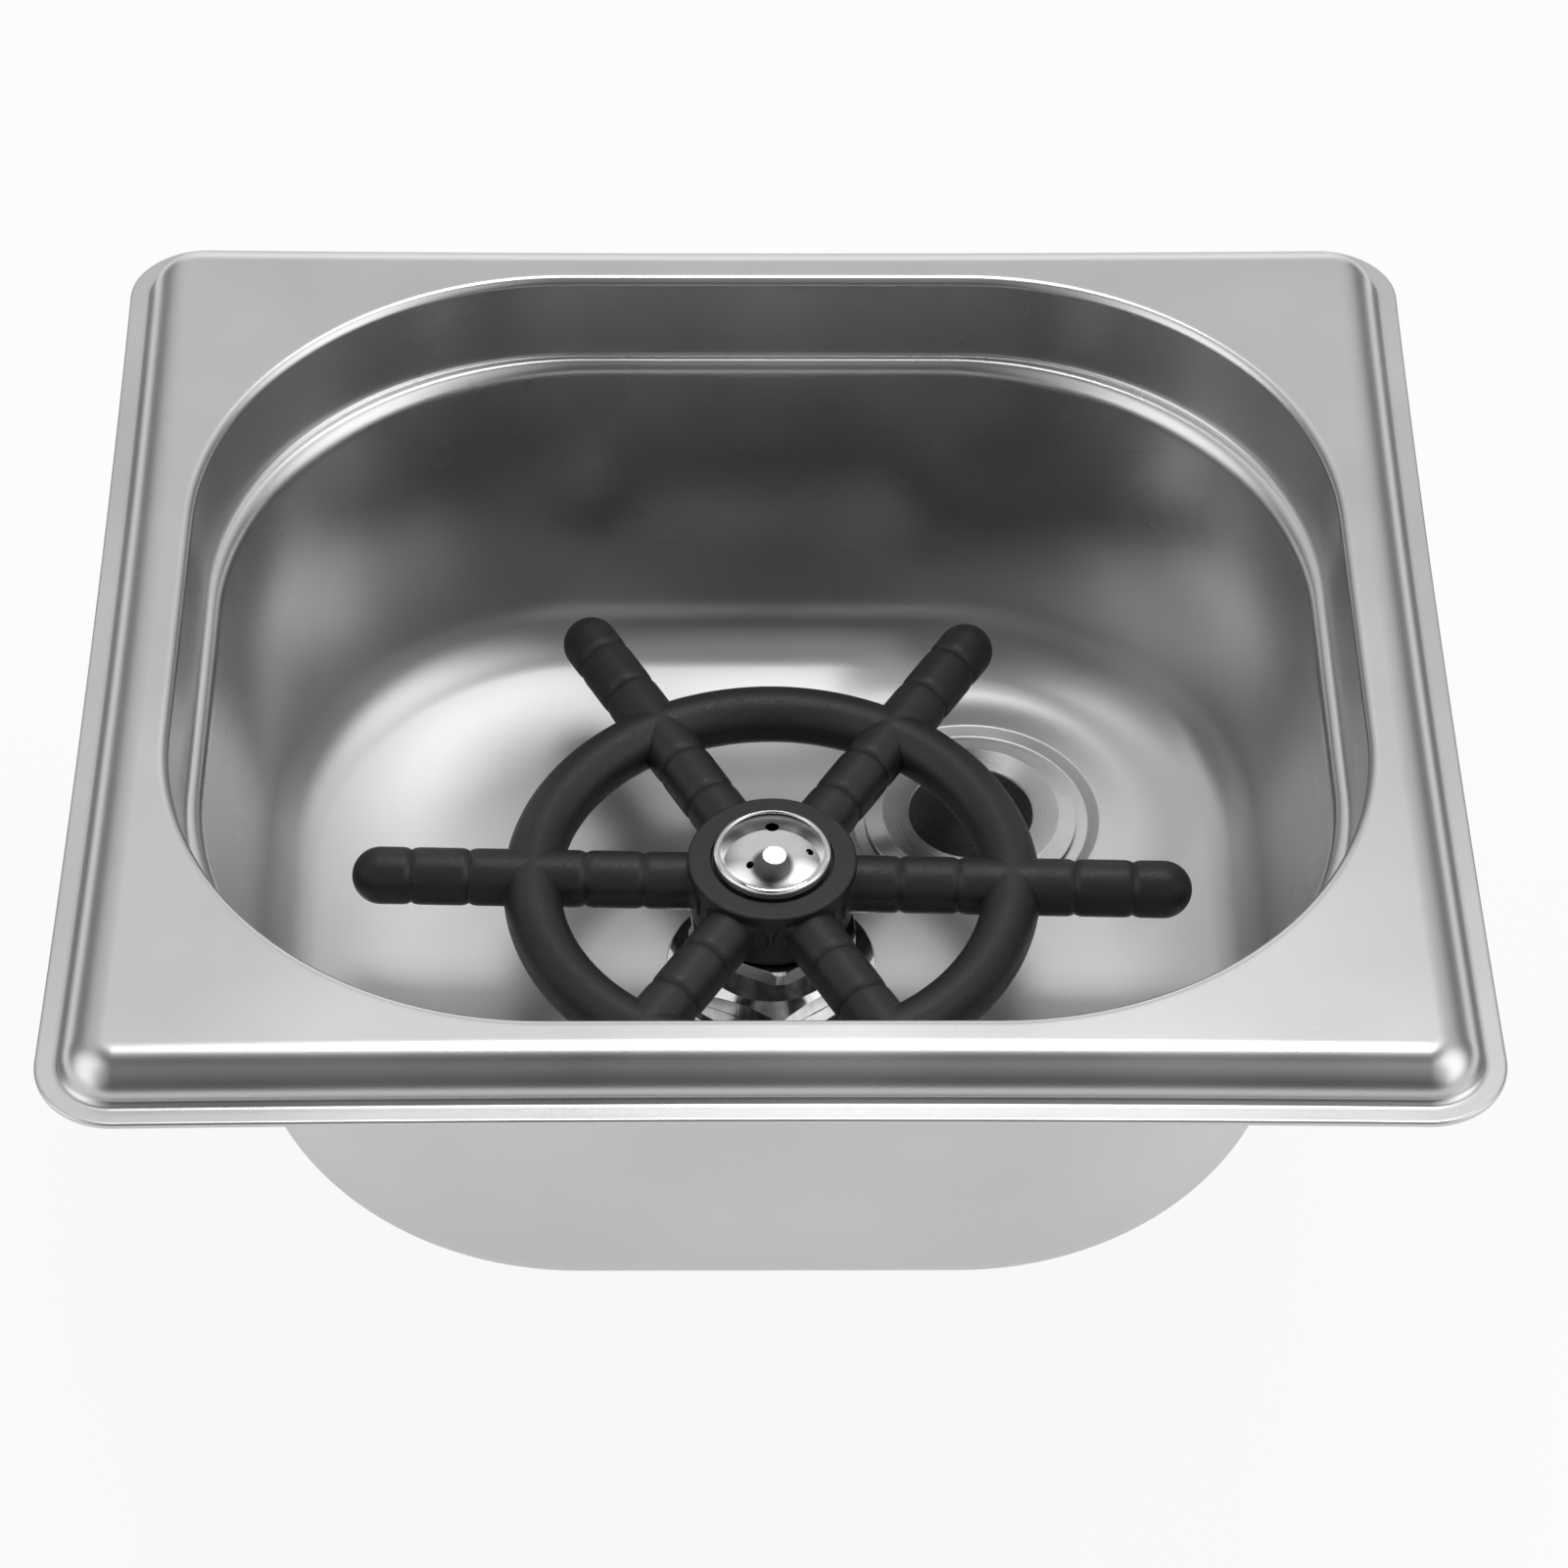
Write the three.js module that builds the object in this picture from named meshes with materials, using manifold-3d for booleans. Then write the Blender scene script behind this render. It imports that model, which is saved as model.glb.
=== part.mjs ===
// Countertop glass rinser: a drop-in pan, a press valve under a six-spoked wheel, and a drain.
// Lengths are millimetres and +Z is up. The origin is the centre of the plane on which the rim rests.

import * as THREE from 'three';
import { mergeVertices } from 'three/addons/utils/BufferGeometryUtils.js';
import Module from 'manifold-3d';

// Pan: outer sizes of the lip, height from the rim's top to the underside of the floor
const panWidth = 176;
const panLength = 162;
const panHeight = 65;
const sheet = 0.8;
const lipWidth = 3.3;
const rimCornerRadius = 1.6;
const sideBow = 0.6;
const rimRise = 5;
const rimFlat = 2.3;
const mouthBend = 2;
const mouthCornerRadius = 47.8;
const collarDepth = 12.6;
const collarLean = 1.1;
const shoulderStep = 2.15;
const shoulderDrop = 2.7;
const wallDraft = THREE.MathUtils.degToRad(6.2);
const floorBend = 14.2;

// Places of the two holes: the valve's from the middle, the drain's from the flat floor's edges
const valveX = 0.8;
const valveY = -1.4;
const drainInsetX = 24.9;
const drainInsetY = 19.3;

// Clearances
const runningClearance = 0.15;
const looseClearance = 0.3;
const sealClearance = 0.1;
const axialPlay = 0.25;

// Wheel
const wheelWallGap = 3.6;
const hubRadius = 11.4;
const hubFootInset = 0.4;
const hubHeight = 9.6;
const hubEdge = 0.4;
const hubRecessDepth = 0.5;
const ringRadius = 32.35;
const ringTubeRadius = 3.9;
const spokeRadius = 3.9;
const spokeCount = 6;
const wheelTurn = THREE.MathUtils.degToRad(-1.5);
const tipGrooveInset = 8;
const groovePitch = 7.85;
const grooveDepth = 0.3;
const grooveWidth = 0.8;

// Press travel of the wheel and the stem, and what is left under the collar at its end
const pressTravel = 5;
const pressStopGap = 0.25;

// Thread size of the valve's shank, the inlet and the drain's tail
const shankRadius = 10.45;

// Hexagons of the stem and the body, with a shoulder at each flat round the shank
const hexShoulder = 0.45;
const hexCornerTrim = 0.35;
const hexTurn = THREE.MathUtils.degToRad(5);
const hexChamfer = 0.8;
const bodyHexHeight = 3.3;
const collarThickness = 2.5;

// Spray nozzle
const nozzleFlangeRadius = 7.95;
const nozzleFlangeRise = 1.5;
const nozzleEdge = 0.6;
const domeInset = 0.9;
const domeHeight = 2.2;
const domeWall = 1;
const spigotBoreRadius = 2.4;
const spigotWall = 1.1;
const spigotLength = 6;
// Each spray hole has its place on the dome and its radius
const sprayHoles = [
  { x: 0, y: 2.4, radius: 0.95 },
  { x: -3, y: -3.9, radius: 0.5 },
  { x: 5, y: -1.4, radius: 0.5 },
];

// Stem, from its bore outwards and from its top down
const waistWall = 1.8;
const ringGrooveWall = 2;
const ringGrooveDepth = 1.2;
const ringSlack = 0.4;
const nozzleRingWidth = 1.4;
const journalWall = 0.6;
const upperRingDepth = 3;
const stemRingSpacing = 3.4;
const waistLead = 2;
const waistLength = 5.3;
const portRadius = 1.4;
const tailStep = 1.4;
const tailPassThrough = 1.6;

// Valve body under the hexagon
const flangeWasherWidth = 3.75;
const flangeWasherThickness = 0.9;
const chamberWall = 2.05;
const chamberGap = 1.2;

// Valve seal, its retainer and the return spring
const seatOverlap = 1.25;
const sealThickness = 2;
const retainerInset = 1;
const retainerThickness = 2.4;
const retainerBossWall = 0.9;
const retainerBossLength = 1.5;
const springBossGap = 0.4;
const springWireRadius = 0.6;
const springLength = 14;
const springTurns = 5.5;

// Inlet adapter and its strainer
const adapterSpigotLength = 5;
const adapterHexShoulder = 0.55;
const adapterHexHeight = 4;
const adapterRingDepth = 1;
const springLedgeGap = 1;
const springLedgeThickness = 2.6;
const nippleWall = 2.45;
const nippleLength = 11;
const screenLedge = 2.5;
const screenRimThickness = 1.2;
const screenCupGap = 0.6;
const screenCupHeight = 7.5;
const screenWall = 0.5;

// Gasket, slip washer and nut under the floor, the same at the valve and at the drain
const gasketWidth = 4.25;
const gasketThickness = 2;
const slipWasherThickness = 1.2;
const nutWall = 2.75;
const lockNutHeight = 6;

// Drain
const drainWall = 1.7;
const drainFlangeWidth = 4.5;
const drainFlangeEdge = 0.5;
const drainCrownSlope = 2.48;
const drainCrownRise = 0.75;
const drainDish = 0.25;
const drainGasketInset = 0.3;
const drainGasketThickness = 0.5;
const drainTailLength = 26;
const recessMargin = 1.65;
const recessSlope = 1.6;
const recessDepth = 0.8;
const recessLap = 1;

// Hose tail of the drain and the nut that holds it
const tailWasherWidth = 2.45;
const tailWasherThickness = 2;
const hoseFlangeInset = 0.25;
const hoseFlangeThickness = 2;
const hoseBoreRadius = 5.75;
const hoseWall = 1.55;
const hoseLength = 24;
const hoseBarbRise = 0.7;
const hoseBarbPitch = 4.5;
const hoseBarbCount = 3;
const tailNutOverlap = 10;
const tailNutLip = 2.5;
const tailNutLipGap = 0.5;

// Numbers of flat steps in the round forms
const roundSteps = 32;
const innerSteps = 20;
const rodSteps = 10;
const wheelRingSteps = 40;
const softRingSides = 6;
const panCornerSteps = 7;
const panSideSteps = 4;
const bendSteps = 3;
const floorBendSteps = 5;
const domeSteps = 4;
const springStepsPerTurn = 10;
const springSides = 5;

// A cut runs this far past the faces that it opens
const overrun = 1;

// Insets and heights of the pan's levels
const rimTop = sheet + rimRise;
const riseInset = lipWidth + rimRise;
const mouthInset = riseInset + rimFlat + mouthBend;
const foldInset = mouthInset + collarLean;
const foldZ = rimTop - collarDepth;
const footInset = foldInset + shoulderStep;
const footZ = foldZ - shoulderDrop;
const floorTop = rimTop - panHeight + sheet;
const floorUnder = floorTop - sheet;
const bendZ = floorTop + floorBend;
const bendInset = footInset + (footZ - bendZ) * Math.tan(wallDraft) + floorBend / Math.cos(wallDraft);

// Heights of the valve above the floor, from the floor up
const bodyHexLow = floorTop + flangeWasherThickness;
const bodyTop = bodyHexLow + bodyHexHeight;
const collarLow = bodyTop + pressStopGap + pressTravel;
const collarTop = collarLow + collarThickness;
const hubLow = collarTop + axialPlay;
const hubTop = hubLow + hubHeight;
const wheelPlane = (hubLow + hubTop) / 2;
const nozzleSeat = hubTop - hubRecessDepth + axialPlay;
const nozzleFlangeTop = hubTop + nozzleFlangeRise;

// Radii of the nozzle and of the journal that the wheel turns on
const spigotRadius = spigotBoreRadius + spigotWall;
const nozzlePocketRadius = spigotRadius + nozzleRingWidth;
const journalRadius = nozzlePocketRadius + journalWall;
const domeRadius = nozzleFlangeRadius - domeInset;

// Radii of the valve's body and of what moves in it, from the thread inwards
const chamberRadius = shankRadius - chamberWall;
const sealRadius = chamberRadius - chamberGap;
const guideRadius = sealRadius - seatOverlap;
const neckRadius = guideRadius - runningClearance;
const ringGrooveRadius = neckRadius - ringGrooveDepth;
const stemBoreRadius = ringGrooveRadius - ringGrooveWall;
const waistRadius = stemBoreRadius + waistWall;
const stemTailRadius = waistRadius - tailStep;
const tailBoreRadius = stemTailRadius + sealClearance;
const retainerBossRadius = tailBoreRadius + retainerBossWall;
const springRadius = retainerBossRadius + springBossGap + springWireRadius;
const clampBoreRadius = shankRadius + looseClearance;
const screenPocketRadius = shankRadius - nippleWall;
const inletBoreRadius = screenPocketRadius - screenLedge;

// Heights of the valve's inside, from the body's top down
const upperRingZ = bodyTop - upperRingDepth;
const lowerRingZ = upperRingZ - stemRingSpacing;
const waistTop = lowerRingZ - waistLead;
const sealTop = waistTop - waistLength;
const seatZ = sealTop + sealClearance;
const sealLow = sealTop - sealThickness;
const retainerLow = sealLow - retainerThickness;
const springTop = retainerLow - sealClearance;
const springLow = springTop - springLength;
const adapterTop = springLow - sealClearance;
const bodyLow = adapterTop - adapterSpigotLength;
const adapterHexLow = bodyLow - adapterHexHeight;
const inletEnd = adapterHexLow - nippleLength;

// Place, radii and heights of the drain
const drainFlangeRadius = shankRadius + drainFlangeWidth;
const drainX = panWidth / 2 - bendInset - drainInsetX;
const drainY = panLength / 2 - bendInset - drainInsetY;
const recessFloorRadius = drainFlangeRadius + recessMargin;
const recessRadius = recessFloorRadius + recessSlope;
const recessTop = floorTop - recessDepth;
const recessUnder = recessTop - sheet;
const drainFlangeLow = recessTop + drainGasketThickness;
const drainFlangeRim = drainFlangeLow + drainFlangeEdge;
const drainCrownTop = drainFlangeRim + drainCrownRise;
const drainTailEnd = recessUnder - drainTailLength;
const hoseFlangeRadius = shankRadius - hoseFlangeInset;
const hoseFlangeTop = drainTailEnd - tailWasherThickness;
const hoseFlangeLow = hoseFlangeTop - hoseFlangeThickness;
const hosePipeRadius = hoseBoreRadius + hoseWall;
const hoseEnd = hoseFlangeLow - hoseLength;

// How far the wheel's spokes reach before they come too near the pan's wall
const wallInset = footInset + (footZ - wheelPlane) * Math.tan(wallDraft);
const roomX = panWidth / 2 - wallInset - Math.abs(valveX);
const roomY = panLength / 2 - wallInset - Math.abs(valveY);
const spokeReach = Math.min(roomX, roomY) - wheelWallGap;

const wasm = await Module();
wasm.setup();

// A closed geometry as a solid that can be joined and cut
function solidFrom(geometry) {
  geometry.deleteAttribute('normal');
  geometry.deleteAttribute('uv');
  const merged = mergeVertices(geometry);
  const corners = merged.index.array;
  const kept = [];
  for (let i = 0; i < corners.length; i += 3) {
    const [a, b, c] = corners.slice(i, i + 3);
    if (a !== b && b !== c && c !== a) kept.push(a, b, c);
  }
  const vertProperties = merged.attributes.position.array;
  const triVerts = new Uint32Array(kept);
  return new wasm.Manifold(new wasm.Mesh({ numProp: 3, vertProperties, triVerts }));
}

function joined(first, ...others) {
  return others.reduce((solid, other) => solid.add(other), first);
}

function cut(first, ...tools) {
  return tools.reduce((solid, tool) => solid.subtract(tool), first);
}

// A named mesh from a solid
function piece(name, solid, material) {
  const { vertProperties, triVerts } = solid.getMesh();
  const geometry = new THREE.BufferGeometry();
  geometry.setAttribute('position', new THREE.BufferAttribute(vertProperties, 3));
  geometry.setIndex(new THREE.BufferAttribute(triVerts, 1));
  geometry.computeVertexNormals();
  const mesh = new THREE.Mesh(geometry, material);
  mesh.name = name;
  return mesh;
}

// A list of evenly spaced values with both ends
function spread(from, to, steps) {
  return Array.from({ length: steps + 1 }, (_, i) => from + ((to - from) * i) / steps);
}

// A form turned about Z from [radius, height] points. Points that start on the axis end on it too,
// and others close on themselves.
function turnedGeometry(profile, steps) {
  const outline = profile[0][0] === 0 ? profile : [...profile, profile[0]];
  const points = outline.map(([radius, height]) => new THREE.Vector2(radius, height));
  if (THREE.ShapeUtils.area(points) < 0) points.reverse();
  return new THREE.LatheGeometry(points, steps).rotateX(Math.PI / 2);
}

function turned(profile, steps = roundSteps) {
  return solidFrom(turnedGeometry(profile, steps));
}

// The corner radius of a faceted bore whose flats touch a circle of the given radius
function aroundCircle(radius, steps = roundSteps) {
  return radius / Math.cos(Math.PI / steps);
}

function rod(radius, low, high, steps = roundSteps) {
  return turned([[0, low], [radius, low], [radius, high], [0, high]], steps);
}

function flatRing(bore, radius, low, high, steps = roundSteps) {
  const inner = aroundCircle(bore, steps);
  return turned([[inner, low], [radius, low], [radius, high], [inner, high]], steps);
}

// Radius of the section of a soft ring between an inner and an outer wall
function ringSection(inner, outer) {
  return (outer - inner) / 2 - sealClearance;
}

function grooveHalfWidth(inner, outer) {
  return ringSection(inner, outer) + ringSlack / 2;
}

function softRing(name, inner, outer, z) {
  const section = ringSection(inner, outer);
  const geometry = new THREE.TorusGeometry((inner + outer) / 2, section, softRingSides, innerSteps);
  return piece(name, solidFrom(geometry.translate(0, 0, z)), blackRubber);
}

// A hexagon with a corner towards -Y, whose flats move in by taper at its top
function hexagon(flatRadius, low, high, taper = 0) {
  const lowReach = flatRadius / Math.cos(Math.PI / 6);
  const highReach = (flatRadius - taper) / Math.cos(Math.PI / 6);
  const geometry = new THREE.CylinderGeometry(highReach, lowReach, high - low, 6);
  geometry.rotateX(Math.PI / 2).rotateZ(hexTurn).translate(0, 0, (low + high) / 2);
  return solidFrom(geometry);
}

// The hexagon of the stem and the body, with its corners turned down a little
function valveHexagon(low, high, taper = 0) {
  const flatRadius = shankRadius + hexShoulder;
  const trimRadius = flatRadius / Math.cos(Math.PI / 6) - hexCornerTrim;
  return hexagon(flatRadius, low, high, taper).intersect(rod(trimRadius, low, high));
}

// A hexagonal nut with its corners chamfered at both ends, still without its bore
function nutBlank(flatRadius, low, high) {
  const cornerRadius = aroundCircle(flatRadius / Math.cos(Math.PI / 6), innerSteps);
  const faceRadius = aroundCircle(flatRadius, innerSteps);
  const slope = (cornerRadius - faceRadius) / 2;
  const barrel = turned([
    [0, low], [faceRadius, low], [cornerRadius, low + slope],
    [cornerRadius, high - slope], [faceRadius, high], [0, high],
  ], innerSteps);
  return hexagon(flatRadius, low, high).intersect(barrel);
}

// Materials
function finish(color, roughness, metalness) {
  return new THREE.MeshStandardMaterial({ color, roughness, metalness });
}
const stainless = finish('#b9bbbd', 0.35, 1);
const chrome = finish('#dfe1e3', 0.08, 1);
const turnedSteel = finish('#c4c5c6', 0.25, 1);
const brass = finish('#b8995a', 0.3, 1);
const springSteel = finish('#a2a5a8', 0.3, 1);
const blackPlastic = finish('#1d1e20', 0.55, 0);
const blackRubber = finish('#151516', 0.8, 0);
const meshSteel = finish('#a9abad', 0.45, 1);

// Pan

// The upper surface of the sheet from the lip's edge to the flat floor: how far each level lies
// inside the lip's edge, its height, its corner radius and how far its sides bow inwards
function panLevels() {
  const levels = [{ inset: 0, z: sheet, corner: rimCornerRadius + riseInset, bow: sideBow }];
  for (const angle of spread(0, Math.PI / 2, bendSteps)) {
    const inset = riseInset - rimRise * Math.cos(angle);
    const z = sheet + rimRise * Math.sin(angle);
    levels.push({ inset, z, corner: rimCornerRadius + riseInset - inset, bow: sideBow });
  }
  for (const angle of spread(0, Math.PI / 2, bendSteps)) {
    const inset = mouthInset - mouthBend * (1 - Math.sin(angle));
    const z = rimTop - mouthBend * (1 - Math.cos(angle));
    levels.push({ inset, z, corner: mouthCornerRadius + mouthInset - inset, bow: 0 });
  }
  for (const angle of spread(0, Math.PI / 2, bendSteps)) {
    const inset = foldInset + shoulderStep * Math.sin(angle);
    const z = foldZ - shoulderDrop * (1 - Math.cos(angle));
    levels.push({ inset, z, corner: mouthCornerRadius, bow: 0 });
  }
  for (const angle of spread(wallDraft, Math.PI / 2, floorBendSteps)) {
    const inset = bendInset - floorBend * Math.cos(angle);
    const z = bendZ - floorBend * Math.sin(angle);
    levels.push({ inset, z, corner: mouthCornerRadius + footInset - inset, bow: 0 });
  }
  return levels;
}

// The same levels moved through the sheet to its underside, with mitred folds
function undersideOf(levels) {
  const flat = new THREE.Vector2(1, 0);
  const along = (i) => {
    if (i < 0 || i >= levels.length - 1) return flat;
    const run = levels[i + 1].inset - levels[i].inset;
    return new THREE.Vector2(run, levels[i + 1].z - levels[i].z).normalize();
  };
  return levels.map((level, i) => {
    const before = along(i - 1);
    const after = along(i);
    const reach = sheet / (1 + before.dot(after));
    const shift = reach * (before.y + after.y);
    const z = level.z - reach * (before.x + after.x);
    return { ...level, inset: level.inset + shift, z, corner: level.corner - shift };
  });
}

// One level as a ring of points: four round corners joined by four bowed sides
function panLoop({ inset, z, corner, bow }) {
  const reachX = panWidth / 2 - inset - corner;
  const reachY = panLength / 2 - inset - corner;
  const centres = [[reachX, reachY], [-reachX, reachY], [-reachX, -reachY], [reachX, -reachY]];
  const onCorner = (quarter, turn) => {
    const [x, y] = centres[quarter % 4];
    const angle = (turn * Math.PI) / 2;
    return new THREE.Vector3(x + corner * Math.cos(angle), y + corner * Math.sin(angle), z);
  };
  const points = [];
  for (let quarter = 0; quarter < 4; quarter++) {
    for (const share of spread(0, 1, panCornerSteps)) points.push(onCorner(quarter, quarter + share));
    const from = onCorner(quarter, quarter + 1);
    const to = onCorner(quarter + 1, quarter + 1);
    const inwards = new THREE.Vector3(-from.x, 0, 0);
    if (quarter % 2 === 0) inwards.set(0, -from.y, 0);
    inwards.normalize();
    for (const share of spread(0, 1, panSideSteps).slice(1, -1)) {
      const depth = bow * (1 - (2 * share - 1) ** 2);
      points.push(from.clone().lerp(to, share).addScaledVector(inwards, depth));
    }
  }
  return points;
}

// A closed skin over a row of loops, with a fan from a point over each end
function skinOver(loops, firstCentre, lastCentre) {
  const count = loops[0].length;
  const vertices = [firstCentre, ...loops.flat(), lastCentre];
  const lastLoop = 1 + (loops.length - 1) * count;
  const index = [];
  for (let i = 0; i < count; i++) {
    const next = (i + 1) % count;
    index.push(0, 1 + i, 1 + next);
    index.push(vertices.length - 1, lastLoop + next, lastLoop + i);
    for (let row = 1; row < lastLoop; row += count) {
      index.push(row + i, row + count + i, row + count + next);
      index.push(row + i, row + count + next, row + next);
    }
  }
  const geometry = new THREE.BufferGeometry().setFromPoints(vertices);
  geometry.setIndex(index);
  return solidFrom(geometry);
}

function drawnPan() {
  const upper = panLevels();
  const under = undersideOf(upper);
  const loops = [...upper.reverse(), ...under].map(panLoop);
  const floorPoint = new THREE.Vector3(0, 0, floorTop);
  const underPoint = new THREE.Vector3(0, 0, floorUnder);
  return skinOver(loops, floorPoint, underPoint);
}

// The round recess pressed into the floor round the drain
function pressedRecess() {
  const lap = recessRadius + recessLap;
  const bore = aroundCircle(clampBoreRadius);
  return turned([
    [bore, recessTop], [recessFloorRadius, recessTop], [recessRadius, floorTop], [lap, floorTop],
    [lap, floorUnder], [recessRadius, floorUnder], [recessFloorRadius, recessUnder], [bore, recessUnder],
  ]);
}

function basin() {
  const drainOpening = rod(recessRadius + recessLap / 2, floorUnder - overrun, floorTop + overrun);
  const valveOpening = rod(aroundCircle(clampBoreRadius), floorUnder - overrun, floorTop + overrun);
  const opened = cut(
    drawnPan(),
    drainOpening.translate(drainX, drainY, 0),
    valveOpening.translate(valveX, valveY, 0),
  );
  const solid = joined(opened, pressedRecess().translate(drainX, drainY, 0));
  return piece('basin', solid, stainless);
}

// Wheel

// Radii of the grooves along a spoke, from the tip inwards, without those under the ring
function grooveRadii() {
  const first = spokeReach - tipGrooveInset;
  const count = Math.floor((first - hubRadius) / groovePitch) + 1;
  const radii = Array.from({ length: count }, (_, order) => first - order * groovePitch);
  return radii.filter((radius) => Math.abs(radius - ringRadius) > ringTubeRadius);
}

// A spoke as it lies along its axis, from its round tip to its foot in the hub
function spokeProfile() {
  const shoulder = spokeReach - spokeRadius;
  const tip = spread(0, Math.PI / 2, bendSteps).map((angle) => (
    [spokeRadius * Math.sin(angle), shoulder + spokeRadius * Math.cos(angle)]
  ));
  const grooves = grooveRadii().flatMap((radius) => [
    [spokeRadius, radius + grooveWidth / 2],
    [spokeRadius - grooveDepth, radius],
    [spokeRadius, radius - grooveWidth / 2],
  ]);
  return [...tip, ...grooves, [spokeRadius, journalRadius], [0, journalRadius]];
}

function spoke(order) {
  const geometry = turnedGeometry(spokeProfile(), rodSteps);
  geometry.rotateY(Math.PI / 2).rotateZ((order * 2 * Math.PI) / spokeCount);
  return solidFrom(geometry.translate(0, 0, wheelPlane));
}

function starWheel() {
  const footRadius = hubRadius - hubFootInset;
  const hub = turned([
    [0, hubLow], [footRadius - hubEdge, hubLow], [footRadius, hubLow + hubEdge],
    [hubRadius, wheelPlane], [hubRadius, hubTop - hubEdge], [hubRadius - hubEdge, hubTop], [0, hubTop],
  ]);
  const torus = new THREE.TorusGeometry(ringRadius, ringTubeRadius, rodSteps, wheelRingSteps);
  const ring = solidFrom(torus.translate(0, 0, wheelPlane));
  const spokes = Array.from({ length: spokeCount }, (_, order) => spoke(order));
  const boreRadius = aroundCircle(journalRadius + looseClearance);
  const recessRim = aroundCircle(nozzleFlangeRadius + looseClearance);
  const solid = cut(
    joined(hub, ring, ...spokes),
    rod(boreRadius, hubLow - overrun, hubTop + overrun),
    rod(recessRim, hubTop - hubRecessDepth, hubTop + overrun),
  );
  const mesh = piece('star_wheel', solid, blackPlastic);
  mesh.rotation.z = wheelTurn;
  return mesh;
}

// Moving parts of the valve

// Height above the flange of the dome's outer surface at a distance from the axis
function domeRise(radius) {
  const sphere = (domeRadius ** 2 + domeHeight ** 2) / (2 * domeHeight);
  return Math.sqrt(sphere ** 2 - radius ** 2) - (sphere - domeHeight);
}

function sprayNozzle() {
  const cavityRadius = domeRadius - domeWall;
  const spigotLow = nozzleSeat - spigotLength;
  const outerDome = spread(domeRadius, 0, domeSteps)
    .map((radius) => [radius, nozzleFlangeTop + domeRise(radius)]);
  const innerDome = spread(0, cavityRadius, domeSteps)
    .map((radius) => [radius, nozzleFlangeTop + domeRise(radius) - domeWall]);
  const cap = turned([
    ...innerDome,
    [cavityRadius, nozzleSeat + domeWall], [spigotBoreRadius, nozzleSeat + domeWall],
    [spigotBoreRadius, spigotLow], [spigotRadius, spigotLow], [spigotRadius, nozzleSeat],
    [nozzleFlangeRadius, nozzleSeat], [nozzleFlangeRadius, nozzleFlangeTop - nozzleEdge],
    [nozzleFlangeRadius - nozzleEdge, nozzleFlangeTop],
    ...outerDome,
  ]);
  const drills = sprayHoles.map(({ x, y, radius }) => {
    const low = nozzleFlangeTop - domeWall;
    const high = nozzleFlangeTop + domeHeight + overrun;
    return rod(radius, low, high, rodSteps).translate(x, y, 0);
  });
  return piece('spray_nozzle', cut(cap, ...drills), chrome);
}

function nozzleRing() {
  const depth = grooveHalfWidth(spigotRadius, nozzlePocketRadius);
  return softRing('nozzle_o_ring', spigotRadius, nozzlePocketRadius, nozzleSeat - depth);
}

// Outline of the neck round one ring groove, read downwards
function ringGroove(z) {
  const half = grooveHalfWidth(ringGrooveRadius, guideRadius);
  return [
    [neckRadius, z + half], [ringGrooveRadius, z + half],
    [ringGrooveRadius, z - half], [neckRadius, z - half],
  ];
}

function valveStem() {
  const socketRadius = spigotRadius + looseClearance;
  const socketLow = nozzleSeat - spigotLength - looseClearance;
  const pocketLow = nozzleSeat - 2 * grooveHalfWidth(spigotRadius, nozzlePocketRadius);
  const tailLow = retainerLow - retainerBossLength - tailPassThrough;
  const portZ = (waistTop + sealTop) / 2;
  const shaft = turned([
    [0, nozzleSeat], [journalRadius, nozzleSeat], [journalRadius, collarLow], [neckRadius, collarLow],
    ...ringGroove(upperRingZ), ...ringGroove(lowerRingZ),
    [neckRadius, waistTop], [waistRadius, waistTop], [waistRadius, sealTop],
    [stemTailRadius, sealTop], [stemTailRadius, tailLow], [0, tailLow],
  ]);
  const bore = turned([
    [0, nozzleSeat + overrun], [nozzlePocketRadius, nozzleSeat + overrun], [nozzlePocketRadius, pocketLow],
    [socketRadius, pocketLow], [socketRadius, socketLow], [stemBoreRadius, socketLow],
    [stemBoreRadius, portZ - portRadius], [0, portZ - portRadius],
  ]);
  const ports = [0, Math.PI / 2].map((angle) => {
    const geometry = new THREE.CylinderGeometry(portRadius, portRadius, 2 * neckRadius, rodSteps);
    return solidFrom(geometry.rotateZ(angle).translate(0, 0, portZ));
  });
  const solid = cut(joined(shaft, valveHexagon(collarLow, collarTop)), bore, ...ports);
  return piece('valve_stem', solid, chrome);
}

function stemRing(name, z) {
  return softRing(name, ringGrooveRadius, guideRadius, z);
}

function valveSeal() {
  const solid = flatRing(tailBoreRadius, sealRadius, sealLow, sealTop, innerSteps);
  return piece('valve_seal', solid, blackRubber);
}

function sealRetainer() {
  const retainerRadius = sealRadius - retainerInset;
  const bossLow = retainerLow - retainerBossLength;
  const bore = aroundCircle(tailBoreRadius, innerSteps);
  const profile = [
    [bore, bossLow], [retainerBossRadius, bossLow], [retainerBossRadius, retainerLow],
    [retainerRadius, retainerLow], [retainerRadius, sealLow], [bore, sealLow],
  ];
  return piece('seal_retainer', turned(profile, innerSteps), brass);
}

// Centre line of the spring's wire, from its lower end to its upper end
class SpringCurve extends THREE.Curve {
  getPoint(share, target = new THREE.Vector3()) {
    const angle = share * springTurns * 2 * Math.PI;
    const low = springLow + springWireRadius;
    const high = springTop - springWireRadius;
    const z = low + (high - low) * share;
    return target.set(springRadius * Math.cos(angle), springRadius * Math.sin(angle), z);
  }
}

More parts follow.
